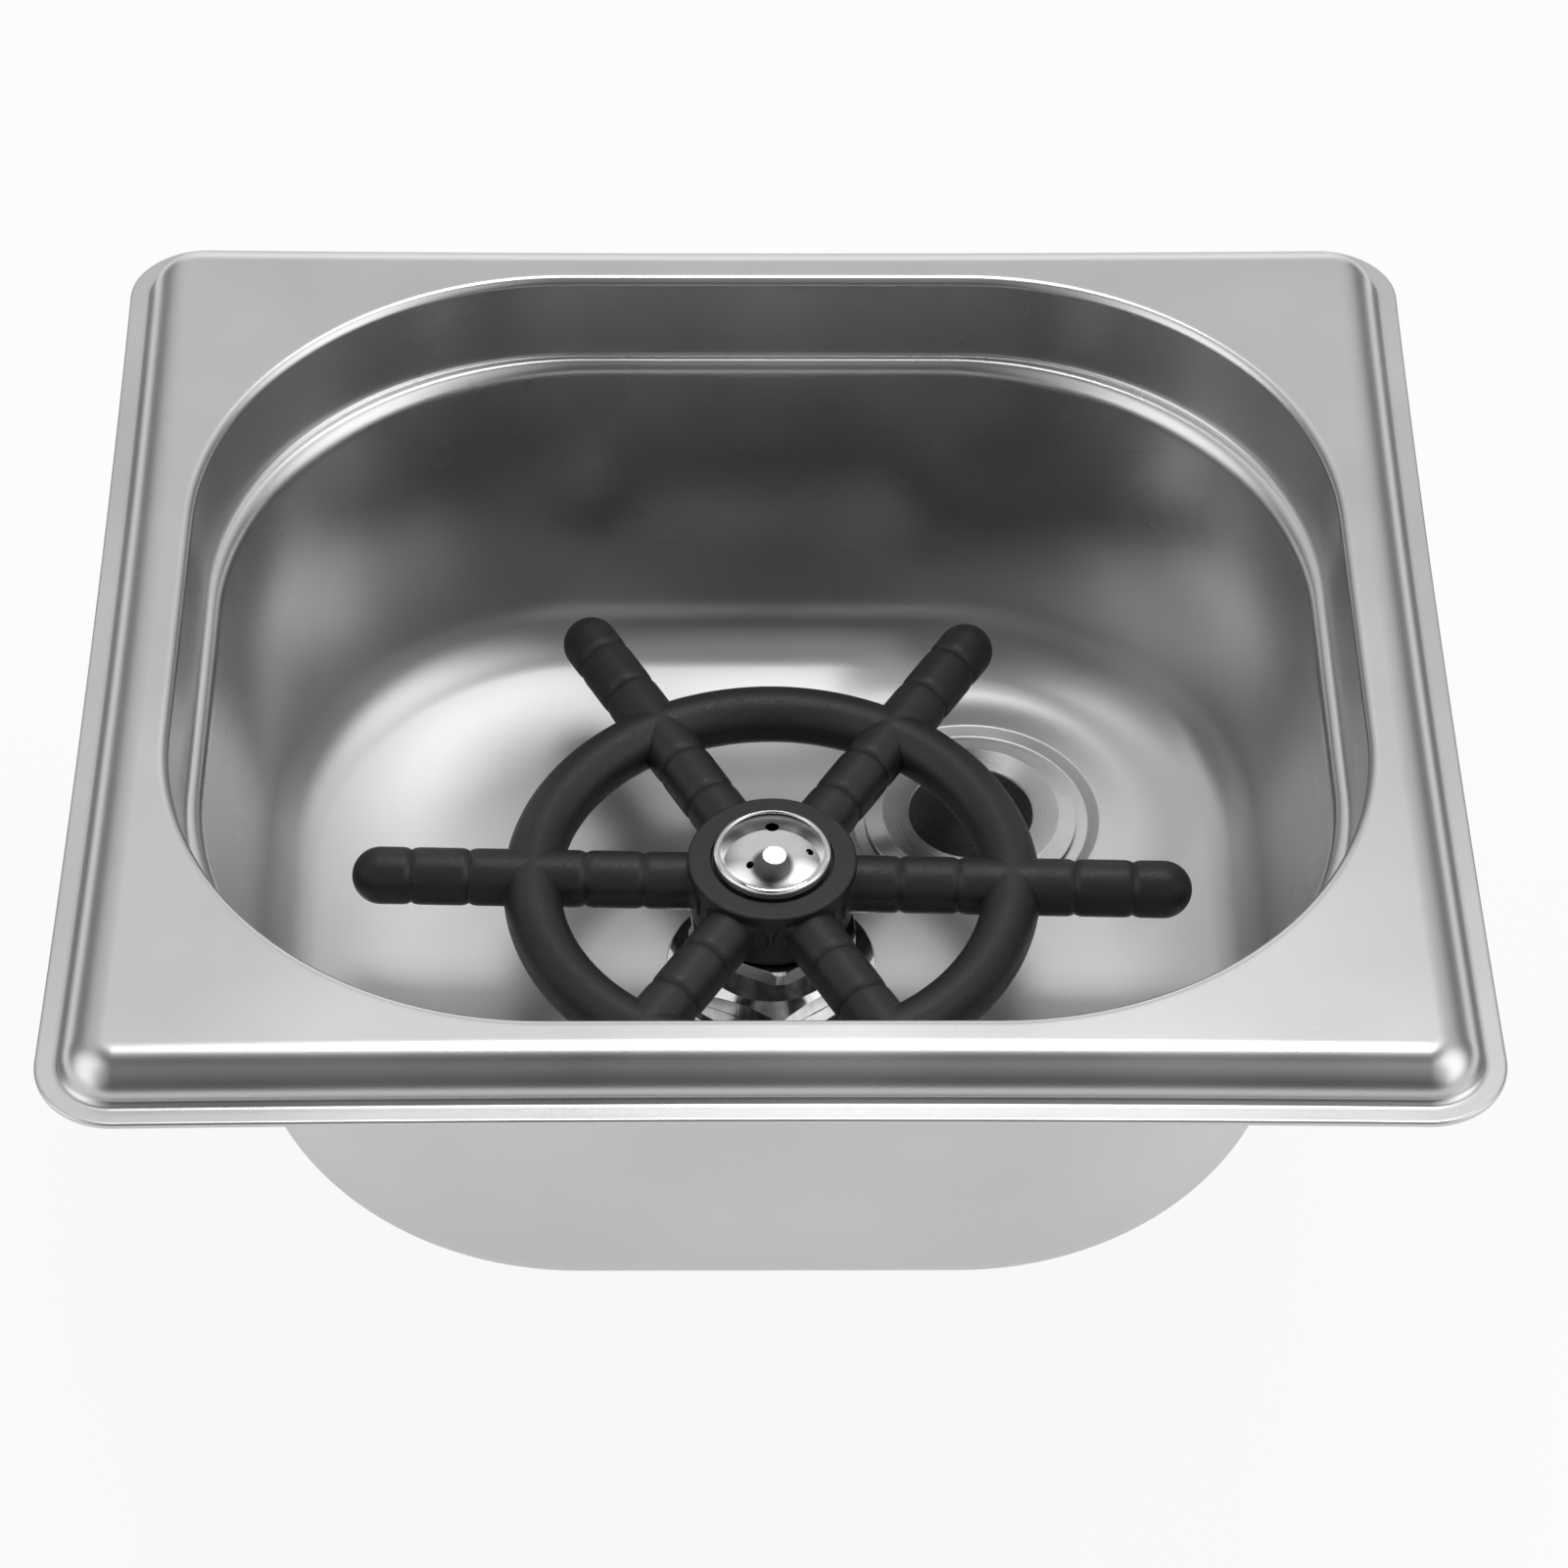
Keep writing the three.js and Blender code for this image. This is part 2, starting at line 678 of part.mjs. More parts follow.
function returnSpring() {
  const section = new THREE.Shape(spread(0, 2 * Math.PI, springSides).slice(1).map((angle) => (
    new THREE.Vector2(springWireRadius * Math.cos(angle), springWireRadius * Math.sin(angle))
  )));
  const steps = springTurns * springStepsPerTurn;
  const extrudePath = new SpringCurve();
  const wire = new THREE.ExtrudeGeometry(section, { steps, extrudePath, bevelEnabled: false });
  return piece('return_spring', solidFrom(wire), springSteel);
}

// Fixed parts of the valve

function valveBody() {
  const chamferLow = bodyTop - hexChamfer;
  const block = joined(
    valveHexagon(bodyHexLow, chamferLow),
    valveHexagon(chamferLow, bodyTop, hexChamfer),
    rod(shankRadius, bodyLow, bodyHexLow),
  );
  const solid = cut(
    block,
    rod(aroundCircle(guideRadius), seatZ - overrun, bodyTop + overrun),
    rod(aroundCircle(chamberRadius), bodyLow - overrun, seatZ),
  );
  return piece('valve_body', solid, chrome);
}

function flangeWasher() {
  const radius = clampBoreRadius + flangeWasherWidth;
  return piece('flange_washer', flatRing(clampBoreRadius, radius, floorTop, bodyHexLow), chrome);
}

// Gasket, slip washer and nut that pull a shank down on the sheet above them
function clampSet(prefix, sheetUnder) {
  const radius = clampBoreRadius + gasketWidth;
  const gasketLow = sheetUnder - gasketThickness;
  const washerLow = gasketLow - slipWasherThickness;
  const nutLow = washerLow - lockNutHeight;
  const gasket = flatRing(clampBoreRadius, radius, gasketLow, sheetUnder, innerSteps);
  const washer = flatRing(clampBoreRadius, radius, washerLow, gasketLow, innerSteps);
  const nutBore = rod(aroundCircle(clampBoreRadius), nutLow - overrun, washerLow + overrun);
  const nut = cut(nutBlank(clampBoreRadius + nutWall, nutLow, washerLow), nutBore);
  return [
    piece(`${prefix}_gasket`, gasket, blackRubber),
    piece(`${prefix}_slip_washer`, washer, turnedSteel),
    piece(`${prefix}_lock_nut`, nut, brass),
  ];
}

function inletAdapter() {
  const spigot = chamberRadius - looseClearance;
  const ringFloor = spigot - adapterRingDepth;
  const grooveMiddle = (adapterTop + bodyLow) / 2;
  const grooveHalf = grooveHalfWidth(ringFloor, chamberRadius);
  const ledgeBore = stemTailRadius + springLedgeGap;
  const ledgeLow = adapterTop - springLedgeThickness;
  const pocketTop = inletEnd + screenRimThickness;
  const tube = turned([
    [ledgeBore, adapterTop], [spigot, adapterTop], [spigot, grooveMiddle + grooveHalf],
    [ringFloor, grooveMiddle + grooveHalf], [ringFloor, grooveMiddle - grooveHalf],
    [spigot, grooveMiddle - grooveHalf], [spigot, bodyLow], [shankRadius, bodyLow], [shankRadius, inletEnd],
    [screenPocketRadius, inletEnd], [screenPocketRadius, pocketTop], [inletBoreRadius, pocketTop],
    [inletBoreRadius, ledgeLow], [ledgeBore, ledgeLow],
  ]);
  const grip = cut(
    nutBlank(shankRadius + adapterHexShoulder, adapterHexLow, bodyLow),
    rod(inletBoreRadius, adapterHexLow - overrun, bodyLow + overrun),
  );
  return piece('inlet_adapter', joined(tube, grip), brass);
}

function adapterRing() {
  const inner = chamberRadius - looseClearance - adapterRingDepth;
  return softRing('adapter_o_ring', inner, chamberRadius, (adapterTop + bodyLow) / 2);
}

// A strainer cup that stands in the inlet's bore on a flat rim
function inletScreen() {
  const cupRadius = inletBoreRadius - screenCupGap;
  const cupInner = cupRadius - screenWall;
  const rimRadius = screenPocketRadius - sealClearance;
  const cupTop = inletEnd + screenCupHeight;
  const rimHigh = inletEnd + screenRimThickness - sealClearance;
  const profile = [
    [0, cupTop - screenWall], [cupInner, cupTop - screenWall], [cupInner, inletEnd], [rimRadius, inletEnd],
    [rimRadius, rimHigh], [cupRadius, rimHigh], [cupRadius, cupTop], [0, cupTop],
  ];
  return piece('inlet_screen', turned(profile, innerSteps), meshSteel);
}

// Drain

function drainFlange() {
  const bore = aroundCircle(shankRadius - drainWall);
  const profile = [
    [bore, drainCrownTop - drainDish], [drainFlangeRadius - drainCrownSlope, drainCrownTop],
    [drainFlangeRadius, drainFlangeRim], [drainFlangeRadius, drainFlangeLow],
    [shankRadius, drainFlangeLow], [shankRadius, drainTailEnd], [bore, drainTailEnd],
  ];
  return piece('drain_flange', turned(profile), turnedSteel);
}

function drainTopGasket() {
  const radius = drainFlangeRadius - drainGasketInset;
  const solid = flatRing(clampBoreRadius, radius, recessTop, drainFlangeLow, innerSteps);
  return piece('drain_top_gasket', solid, blackRubber);
}

function drainTailWasher() {
  const bore = shankRadius - tailWasherWidth;
  const solid = flatRing(bore, hoseFlangeRadius, hoseFlangeTop, drainTailEnd, innerSteps);
  return piece('drain_tail_washer', solid, blackRubber);
}

// Outline of the barbs along the hose's tail, read downwards
function barbProfile() {
  return Array.from({ length: hoseBarbCount }, (_, order) => {
    const low = hoseEnd + (hoseBarbCount - 1 - order) * hoseBarbPitch;
    const high = low + hoseBarbPitch;
    const crest = hosePipeRadius + hoseBarbRise;
    return [[hosePipeRadius, high], [crest, high - hoseBarbRise], [hosePipeRadius, low]];
  }).flat();
}

function drainHoseTail() {
  const bore = aroundCircle(hoseBoreRadius, innerSteps);
  const profile = [
    [bore, hoseFlangeTop], [hoseFlangeRadius, hoseFlangeTop], [hoseFlangeRadius, hoseFlangeLow],
    [hosePipeRadius, hoseFlangeLow], ...barbProfile(), [bore, hoseEnd],
  ];
  return piece('drain_hose_tail', turned(profile, innerSteps), blackPlastic);
}

function drainTailNut() {
  const high = drainTailEnd + tailNutOverlap;
  const seat = hoseFlangeLow - sealClearance;
  const low = seat - tailNutLip;
  const lipBore = hosePipeRadius + hoseBarbRise + tailNutLipGap;
  const solid = cut(
    nutBlank(clampBoreRadius + nutWall, low, high),
    rod(aroundCircle(clampBoreRadius), seat, high + overrun),
    rod(aroundCircle(lipBore), low - overrun, high),
  );
  return piece('drain_tail_nut', solid, brass);
}

// Assembly

const valve = new THREE.Group();
valve.position.set(valveX, valveY, 0);
valve.add(
  starWheel(),
  sprayNozzle(),
  nozzleRing(),
  valveStem(),
  stemRing('stem_o_ring_upper', upperRingZ),
  stemRing('stem_o_ring_lower', lowerRingZ),
  valveSeal(),
  sealRetainer(),
  returnSpring(),
  valveBody(),
  flangeWasher(),
  ...clampSet('valve', floorUnder),
  inletAdapter(),
  adapterRing(),
  inletScreen(),
);

const drain = new THREE.Group();
drain.position.set(drainX, drainY, 0);
drain.add(
  drainFlange(),
  drainTopGasket(),
  ...clampSet('drain', recessUnder),
  drainTailWasher(),
  drainHoseTail(),
  drainTailNut(),
);

const rinser = new THREE.Group();
rinser.add(basin(), valve, drain);

export default rinser;
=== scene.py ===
# Glass rinser: a drop-in pan, a press valve under a black spoked wheel, and a drain.
# Outlines are written in millimetres in the model's own frame, and every mesh is made in metres.
import math

import bmesh
import bpy
from mathutils import Matrix, Vector


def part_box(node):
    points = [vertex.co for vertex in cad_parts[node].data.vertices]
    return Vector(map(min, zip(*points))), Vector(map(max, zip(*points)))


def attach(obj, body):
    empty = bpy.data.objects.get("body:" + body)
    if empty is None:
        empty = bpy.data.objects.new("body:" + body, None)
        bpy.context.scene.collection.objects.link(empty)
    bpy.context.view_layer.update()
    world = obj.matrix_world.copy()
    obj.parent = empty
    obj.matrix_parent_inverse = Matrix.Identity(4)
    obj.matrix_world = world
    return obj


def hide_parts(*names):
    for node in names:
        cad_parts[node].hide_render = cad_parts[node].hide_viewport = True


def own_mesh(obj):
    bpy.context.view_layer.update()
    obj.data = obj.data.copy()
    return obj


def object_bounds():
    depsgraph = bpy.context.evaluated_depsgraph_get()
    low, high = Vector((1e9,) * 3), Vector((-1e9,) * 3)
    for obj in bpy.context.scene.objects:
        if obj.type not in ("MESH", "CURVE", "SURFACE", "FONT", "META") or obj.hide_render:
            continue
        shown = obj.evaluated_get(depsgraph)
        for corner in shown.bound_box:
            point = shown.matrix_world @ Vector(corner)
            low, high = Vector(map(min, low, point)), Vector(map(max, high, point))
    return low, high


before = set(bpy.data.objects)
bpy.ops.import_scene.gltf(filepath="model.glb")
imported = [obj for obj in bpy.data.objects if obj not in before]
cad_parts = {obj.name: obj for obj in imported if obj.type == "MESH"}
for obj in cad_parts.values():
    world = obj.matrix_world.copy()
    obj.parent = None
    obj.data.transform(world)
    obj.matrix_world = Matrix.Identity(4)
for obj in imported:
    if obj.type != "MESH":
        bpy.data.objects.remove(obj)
cad_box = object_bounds()

MM = 0.001
UP = Vector((0, 0, 1))

# Camera: the point it looks at, its distance, its turns in degrees and its lens
LOOK_AT = Vector((1.79, -29.43, 5.8))
CAMERA_DISTANCE = 633.9
CAMERA_YAW, CAMERA_PITCH, CAMERA_ROLL = 0.99, 45.30, -0.67
CAMERA_LENS = 116.93
CAMERA_SENSOR = 36

# Pan
SHEET = 0.8
LIP_WIDTH = 2.25
LIP_EDGE = 0.25
LIP_FOLD = 1
RIM_CORNER = 1.6
SIDE_BOW = 0.6
RIM_RISE = 5
RIM_CURVE = 5.3
RIM_FLAT = 3
MOUTH_BEND = 1.3
MOUTH_CORNER = 47.8
COLLAR_DEPTH = 12.6
COLLAR_LEAN = 1.1
COLLAR_FOLD = 0.5
SHOULDER_STEP = 2.15
SHOULDER_DROP = 2.7
WALL_DRAFT = math.radians(6.2)
FLOOR_BEND = 10
FLOOR_EASE = 50
EASE_TILT = math.radians(20)
# Distance from a bend of the extra level that keeps the stretch beside it flat
SUPPORT = 0.3

# Recess pressed round the drain, and the ring round it where the floor's gentle rise is pressed flat
RECESS_FLOOR = 16.6
RECESS_RADIUS = 18.2
RECESS_DEPTH = 0.8
RECESS_LAP = 1
RECESS_BEND = 0.9
LEVEL_MARGIN = 1
LEVEL_REACH = 12
LEVEL_HEIGHT = 4

# Pipe thread: distance between its crests, its depth, and where it runs out. Shanks and what fits them
THREAD_PITCH = 1.814
THREAD_DEPTH = 1.16
THREAD_FADE = 1.6
TURN_STEPS = 10
SHANK_RADIUS = 10.45
SHANK_BORE = 10.75
NUT_WALL = 2.75

# Wheel
RING_RADIUS = 32.35
BAR_RADIUS = 3.9
SPOKE_COUNT = 6
WHEEL_TURN = math.radians(-1.5)
WHEEL_BORE = 5.8
SPOKE_ROOT = 7.4
TIP_GAP = 0.05
TIP_GROOVE_INSET = 8
GROOVE_COUNT = 5
GROOVE_PITCH = 7.85
GROOVE_DEPTH = 0.34
GROOVE_REACH = 0.45
GROOVE_SPAN = 1.6
GROOVE_SHARPNESS = 1.3
HUB_RADIUS = 11.4
HUB_WALL = 10.95
HUB_FOOT = 11.0
HUB_CAP = 1.3
HUB_WAIST = 1.5
HUB_CREASE = 0.12
HUB_EDGE = 0.4
HUB_RECESS_RADIUS = 8.25
HUB_RECESS_DEPTH = 0.5
ROOT_FILLET = 1.4
ROOT_START = 10.0
ROOT_RISE_SHARE = 0.25
WHEEL_SHARP = math.radians(28)

# Valve
HEX_FLAT = 10.9
HEX_TRIM = 12.24
HEX_TURN = math.radians(5)
GUIDE_RADIUS = 5.95
STEM_BORE = 2.6
NECK_RADIUS = 5.8
RING_GROOVE = 4.6
JOURNAL_RADIUS = 5.5
CHAMBER_RADIUS = 8.4

# Roundings of edges, from the sharpest
CRISP = 0.1
BROKEN = 0.15
EASED = 0.2
SOFT = 0.3
ROUND = 0.5

# How far a cutting form and a level drill reach, and how near two sizes count as one
OVER = 1
DRILL_REACH = 8
CLOSE = 0.01

# Numbers of steps in the round forms, and shares of the straight stretches where the pan has a level
FINE_STEPS = 360
ROUND_STEPS = 128
RING_STEPS = 96
CUP_STEPS = 64
BAR_STEPS = 44
DRILL_STEPS = 32
GROOVE_STEPS = 32
DOME_STEPS = 24
CAVITY_STEPS = 10
SECTION_STEPS = 20
SMALL_STEPS = 12
FILLET_STEPS = 5
CORNER_STEPS = 32
SIDE_STEPS = 16
EDGE_STEPS = 3
FOLD_STEPS = 6
RISE_STEPS = 14
MOUTH_STEPS = 9
BEND_STEPS = 20
EASE_STEPS = 14
COLLAR_SHARES = (0.05, 0.3, 0.6, 0.9)
WALL_SHARES = (0.02, 0.2, 0.4, 0.6, 0.8, 0.98)


class Place:
    """A node's axis, its lowest and highest height, its radius and its half depth, in millimetres."""

    def __init__(self, node):
        low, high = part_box(node)
        self.x = (low.x + high.x) / 2 / MM
        self.y = (low.y + high.y) / 2 / MM
        self.low = low.z / MM
        self.high = high.z / MM
        self.radius = (high.x - low.x) / 2 / MM
        self.depth = (high.y - low.y) / 2 / MM


VALVE = Place("spray_nozzle")
DRAIN = Place("drain_flange")


# Camera and stage

def place_camera():
    yaw, pitch, roll = map(math.radians, (CAMERA_YAW, CAMERA_PITCH, CAMERA_ROLL))
    level = Vector((math.sin(yaw), math.cos(yaw), 0))
    forward = level * math.cos(pitch) - UP * math.sin(pitch)
    right = Vector((math.cos(yaw), -math.sin(yaw), 0))
    down = forward.cross(right)
    rolled_right = right * math.cos(roll) + down * math.sin(roll)
    rolled_down = down * math.cos(roll) - right * math.sin(roll)
    data = bpy.data.cameras.new("camera")
    data.lens = CAMERA_LENS
    data.sensor_width = CAMERA_SENSOR
    data.clip_start = 0.01
    camera = bpy.data.objects.new("camera", data)
    turn = Matrix((rolled_right, -rolled_down, -forward)).transposed()
    at = (LOOK_AT - forward * CAMERA_DISTANCE) * MM
    camera.matrix_world = Matrix.Translation(at) @ turn.to_4x4()
    bpy.context.scene.collection.objects.link(camera)
    bpy.context.scene.camera = camera


def towards(azimuth, elevation):
    """A direction from its elevation and its azimuth, clockwise from the back, in degrees."""
    turn, rise = math.radians(azimuth), math.radians(elevation)
    return (math.sin(turn) * math.cos(rise), math.cos(turn) * math.cos(rise), math.sin(rise))


class Graph:
    """A node tree, written from its inputs to its output."""

    def __init__(self, tree):
        tree.nodes.clear()
        self.tree = tree

    def feed(self, socket, value):
        if isinstance(value, bpy.types.NodeSocket):
            self.tree.links.new(value, socket)
        else:
            socket.default_value = value

    def node(self, kind, inputs=None, **settings):
        made = self.tree.nodes.new("ShaderNode" + kind)
        for name, value in settings.items():
            setattr(made, name, value)
        for name, value in (inputs or {}).items():
            self.feed(made.inputs[name], value)
        return made

    def math(self, operation, *values, clamp=False):
        made = self.node("Math", operation=operation, use_clamp=clamp)
        for socket, value in zip(made.inputs, values):
            self.feed(socket, value)
        return made.outputs[0]

    def mapped(self, value, source, target, kind="LINEAR"):
        inputs = {"Value": value, "From Min": source[0], "From Max": source[1]}
        inputs.update({"To Min": target[0], "To Max": target[1]})
        return self.node("MapRange", inputs, interpolation_type=kind).outputs[0]

    def noise(self, vector, scale, detail=2.0, roughness=0.5):
        inputs = {"Vector": vector, "Scale": scale, "Detail": detail, "Roughness": roughness}
        return self.node("TexNoise", inputs).outputs["Fac"]

    def stretched(self, vector, x, y, z):
        return self.node("VectorMath", {0: vector, 1: (x, y, z)}, operation="MULTIPLY").outputs[0]

    def shades(self, value, *stops):
        made = self.node("ValToRGB", {"Fac": value})
        ramp = made.color_ramp
        while len(ramp.elements) < len(stops):
            ramp.elements.new(1.0)
        for element, (position, shade) in zip(ramp.elements, stops):
            element.position = position
            element.color = (*shade, 1)
        return made.outputs["Color"]

    def bump(self, height, distance, strength=1.0, normal=None):
        inputs = {"Height": height, "Distance": distance, "Strength": strength}
        if normal is not None:
            inputs["Normal"] = normal
        return self.node("Bump", inputs).outputs[0]

    def spot(self, direction, azimuth, elevation, inner, outer):
        """One within the inner angle of a direction, zero past the outer one, all in degrees."""
        inputs = {0: direction, 1: towards(azimuth, elevation)}
        cosine = self.node("VectorMath", inputs, operation="DOT_PRODUCT").outputs["Value"]
        edges = (math.cos(math.radians(outer)), math.cos(math.radians(inner)))
        return self.mapped(cosine, edges, (0.0, 1.0), "SMOOTHSTEP")

    def seen(self):
        """One for what the camera sees directly, in a mirror or through glass, else zero."""
        path = self.node("LightPath").outputs
        direct = self.math("ADD", path["Is Camera Ray"], path["Is Glossy Ray"])
        return self.math("ADD", direct, path["Is Transmission Ray"], clamp=True)


# The floor's size and its place under the model in metres, and how it shows as white
STAGE_SIZE = 6
STAGE_GAP = 0.0005
STAGE_LIFT = 0.6
STAGE_WHITE = 0.28


def make_stage():
    material = bpy.data.materials.new("studio_floor")
    material.use_nodes = True
    graph = Graph(material.node_tree)
    diffuse = graph.node("BsdfDiffuse", {"Color": (0.93, 0.93, 0.93, 1)}).outputs[0]
    glow = graph.node("Emission", {"Color": (1, 1, 1, 1), "Strength": 1.0}).outputs[0]
    camera = graph.math("MULTIPLY", graph.node("LightPath").outputs["Is Camera Ray"], STAGE_WHITE)
    share = graph.math("MULTIPLY_ADD", graph.seen(), STAGE_LIFT, camera)
    mixed = graph.node("MixShader", {0: share, 1: diffuse, 2: glow}).outputs[0]
    graph.node("OutputMaterial", {"Surface": mixed})
    half = STAGE_SIZE / 2
    corners = [(-half, -half, 0), (half, -half, 0), (half, half, 0), (-half, half, 0)]
    mesh = bpy.data.meshes.new("studio_floor")
    mesh.from_pydata(corners, [], [(0, 1, 2, 3)])
    mesh.materials.append(material)
    floor = bpy.data.objects.new("studio_floor", mesh)
    floor.location.z = cad_box[0].z - STAGE_GAP
    bpy.context.scene.collection.objects.link(floor)


# Soft panels of light: azimuth, elevation, inner and outer angle in degrees, strength
PANELS = (
    (0, 56, 24, 54, 0.56),
    (0, 0, 12, 30, 1.2),
    (118, 38, 12, 48, 1.9),
    (242, 30, 12, 48, 1.6),
)
# Dark regions and how dark they are: the lamp's hood, and the side that the camera stands on
SHADES = (
    (5, 86, 20, 28, 0.85),
    (180, 34, 28, 52, 0.6),
)
AMBIENT = 0.27


def make_world():
    world = bpy.data.worlds.new("studio")
    world.use_nodes = True
    bpy.context.scene.world = world
    graph = Graph(world.node_tree)
    direction = graph.node("TexCoord").outputs["Generated"]
    level = AMBIENT
    for *place, strength in PANELS:
        panel = graph.math("MULTIPLY", graph.spot(direction, *place), strength)
        level = graph.math("ADD", panel, level)
    for *place, depth in SHADES:
        shade = graph.math("MULTIPLY", graph.spot(direction, *place), depth)
        level = graph.math("MULTIPLY", level, graph.math("SUBTRACT", 1.0, shade))
    surface = graph.node("Background", {"Strength": level}).outputs[0]
    graph.node("OutputWorld", {"Surface": surface})


# A round lamp above the back: where it hangs, its distance and size in metres, and its power in watts
LAMP_AT = (9, 71)
LAMP_DISTANCE = 1.1
LAMP_SIZE = 0.5
LAMP_POWER = 3.1


def hang_lamp():
    data = bpy.data.lights.new("lamp", "AREA")
    data.shape = "DISK"
    data.size = LAMP_SIZE
    data.energy = LAMP_POWER
    light = bpy.data.objects.new("lamp", data)
    at = Vector(towards(*LAMP_AT)) * LAMP_DISTANCE
    light.location = at
    light.rotation_euler = at.to_track_quat("Z", "Y").to_euler()
    bpy.context.scene.collection.objects.link(light)


# Materials

def new_material(name):
    material = bpy.data.materials.new(name)
    material.use_nodes = True
    graph = Graph(material.node_tree)
    place = graph.node("TexCoord").outputs["Object"]
    return material, graph, place


def surfaced(graph, **values):
    inputs = {name.replace("_", " "): value for name, value in values.items()}
    shader = graph.node("BsdfPrincipled", inputs).outputs[0]
    graph.node("OutputMaterial", {"Surface": shader})


def grey(value, warmth=0.0):
    return (value + warmth, value, value - warmth)


# Heights in metres between which the floor's duller finish gives way to the wall's
FLOOR_FINISH = (-0.050, -0.036)


def satin_steel():
    """Drawn and pickled sheet: an even satin with faint clouds and a fine grain."""
    material, graph, place = new_material("satin_steel")
    cloud = graph.noise(place, 26.0, 3.0)
    grain = graph.noise(place, 3600.0, 2.0)
    drawn = graph.noise(graph.stretched(place, 900.0, 900.0, 22.0), 1.0, 2.0)
    colour = graph.shades(cloud, (0.3, grey(0.6)), (0.7, grey(0.655)))
    height = graph.node("SeparateXYZ", {0: place}).outputs["Z"]
    pressed = graph.mapped(height, FLOOR_FINISH, (0.09, 0.0), "SMOOTHSTEP")
    rough = graph.math("ADD", graph.mapped(cloud, (0.3, 0.7), (0.26, 0.31)), pressed)
    relief = graph.math("ADD", grain, graph.math("MULTIPLY", drawn, 0.6))
    normal = graph.bump(relief, 0.00001, 0.35)
    surfaced(graph, Base_Color=colour, Metallic=1.0, Roughness=rough, Normal=normal)
    return material


def polished_chrome():
    """Plating with a slight waviness and traces of wiping."""
    material, graph, place = new_material("polished_chrome")
    wave = graph.noise(place, 160.0, 2.0)
    haze = graph.noise(place, 500.0, 4.0)
    colour = graph.shades(haze, (0.3, grey(0.78)), (0.7, grey(0.83)))
    rough = graph.mapped(haze, (0.35, 0.75), (0.035, 0.07))
    normal = graph.bump(wave, 0.00012, 0.25)
    surfaced(graph, Base_Color=colour, Metallic=1.0, Roughness=rough, Normal=normal)
    return material


def brushed_chrome():
    """Plating over a machined surface: faint upright streaks, a little duller than the cap."""
    material, graph, place = new_material("brushed_chrome")
    streaks = graph.noise(graph.stretched(place, 1400.0, 1400.0, 60.0), 1.0, 3.0)
    haze = graph.noise(place, 420.0, 3.0)
    colour = graph.shades(haze, (0.3, grey(0.5)), (0.7, grey(0.62)))
    rough = graph.mapped(streaks, (0.3, 0.7), (0.13, 0.24))
    normal = graph.bump(streaks, 0.00002, 0.6)
    surfaced(graph, Base_Color=colour, Metallic=1.0, Roughness=rough, Normal=normal)
    return material


def turned_metal(name, light, dark, roughness, axis):
    """Metal faced on a lathe: fine rings about its own axis."""
    material, graph, place = new_material(name)
    offset = (-axis.x * MM, -axis.y * MM, 0)
    centred = graph.node("VectorMath", {0: place, 1: offset}, operation="ADD").outputs[0]
    flat = graph.stretched(centred, 1, 1, 0)
    distance = graph.node("VectorMath", {0: flat}, operation="LENGTH").outputs["Value"]
    around = graph.node("VectorMath", {0: UP, 1: flat}, operation="CROSS_PRODUCT").outputs[0]
    height = graph.node("SeparateXYZ", {0: place}).outputs["Z"]
    reach = graph.math("ADD", distance, height)
    rings = graph.noise(graph.node("CombineXYZ", {"X": reach}).outputs[0], 5200.0, 3.0)
    cloud = graph.noise(place, 120.0, 3.0)
    colour = graph.shades(cloud, (0.3, dark), (0.7, light))
    rough = graph.mapped(rings, (0.3, 0.7), (roughness * 0.8, roughness * 1.2))
    normal = graph.bump(rings, 0.000012, 0.5)
    surfaced(
        graph, Base_Color=colour, Metallic=1.0, Roughness=rough, Normal=normal,
        Tangent=around, Anisotropic=0.7, Anisotropic_Rotation=0.25,
    )
    return material


def moulded_plastic():
    """Black moulded plastic with a fine spark-eroded grain, rubbed paler in specks."""
    material, graph, place = new_material("black_plastic")
    grain = graph.noise(place, 3200.0, 2.0)
    cloud = graph.noise(place, 90.0, 3.0)
    rubbed = graph.mapped(graph.noise(place, 240.0, 3.0), (0.5, 0.66), (0.0, 1.0))
    specks = graph.math("MULTIPLY", graph.mapped(grain, (0.52, 0.68), (0.0, 0.5)), rubbed)
    worn = graph.math("ADD", graph.mapped(cloud, (0.3, 0.7), (0.0, 0.5)), specks)
    dark, plain = (0.011, 0.011, 0.0115), (0.016, 0.016, 0.0165)
    colour = graph.shades(worn, (0.0, dark), (0.5, plain), (1.0, grey(0.04)))
    even = graph.mapped(grain, (0.3, 0.7), (0.42, 0.56))
    rough = graph.math("MULTIPLY_ADD", specks, 0.2, even)
    normal = graph.bump(grain, 0.00005, 0.6)
    surfaced(graph, Base_Color=colour, Roughness=rough, Normal=normal)
    return material


def black_rubber():
    material, graph, place = new_material("black_rubber")
    grain = graph.noise(place, 1500.0, 3.0)
    colour = graph.shades(grain, (0.3, grey(0.013)), (0.7, grey(0.024)))
    rough = graph.mapped(grain, (0.3, 0.7), (0.62, 0.76))
    normal = graph.bump(grain, 0.00004, 0.5)
    surfaced(graph, Base_Color=colour, Roughness=rough, Normal=normal)
    return material


def drawn_wire():
    material, graph, place = new_material("spring_steel")
    grain = graph.noise(place, 900.0, 4.0)
    colour = graph.shades(grain, (0.3, grey(0.42)), (0.7, grey(0.54)))
    rough = graph.mapped(grain, (0.3, 0.7), (0.24, 0.36))
    normal = graph.bump(grain, 0.00001, 0.4)
    surfaced(graph, Base_Color=colour, Metallic=1.0, Roughness=rough, Normal=normal)
    return material


# Mesh helpers

def spread(start, end, steps):
    return [start + (end - start) * i / steps for i in range(steps + 1)]


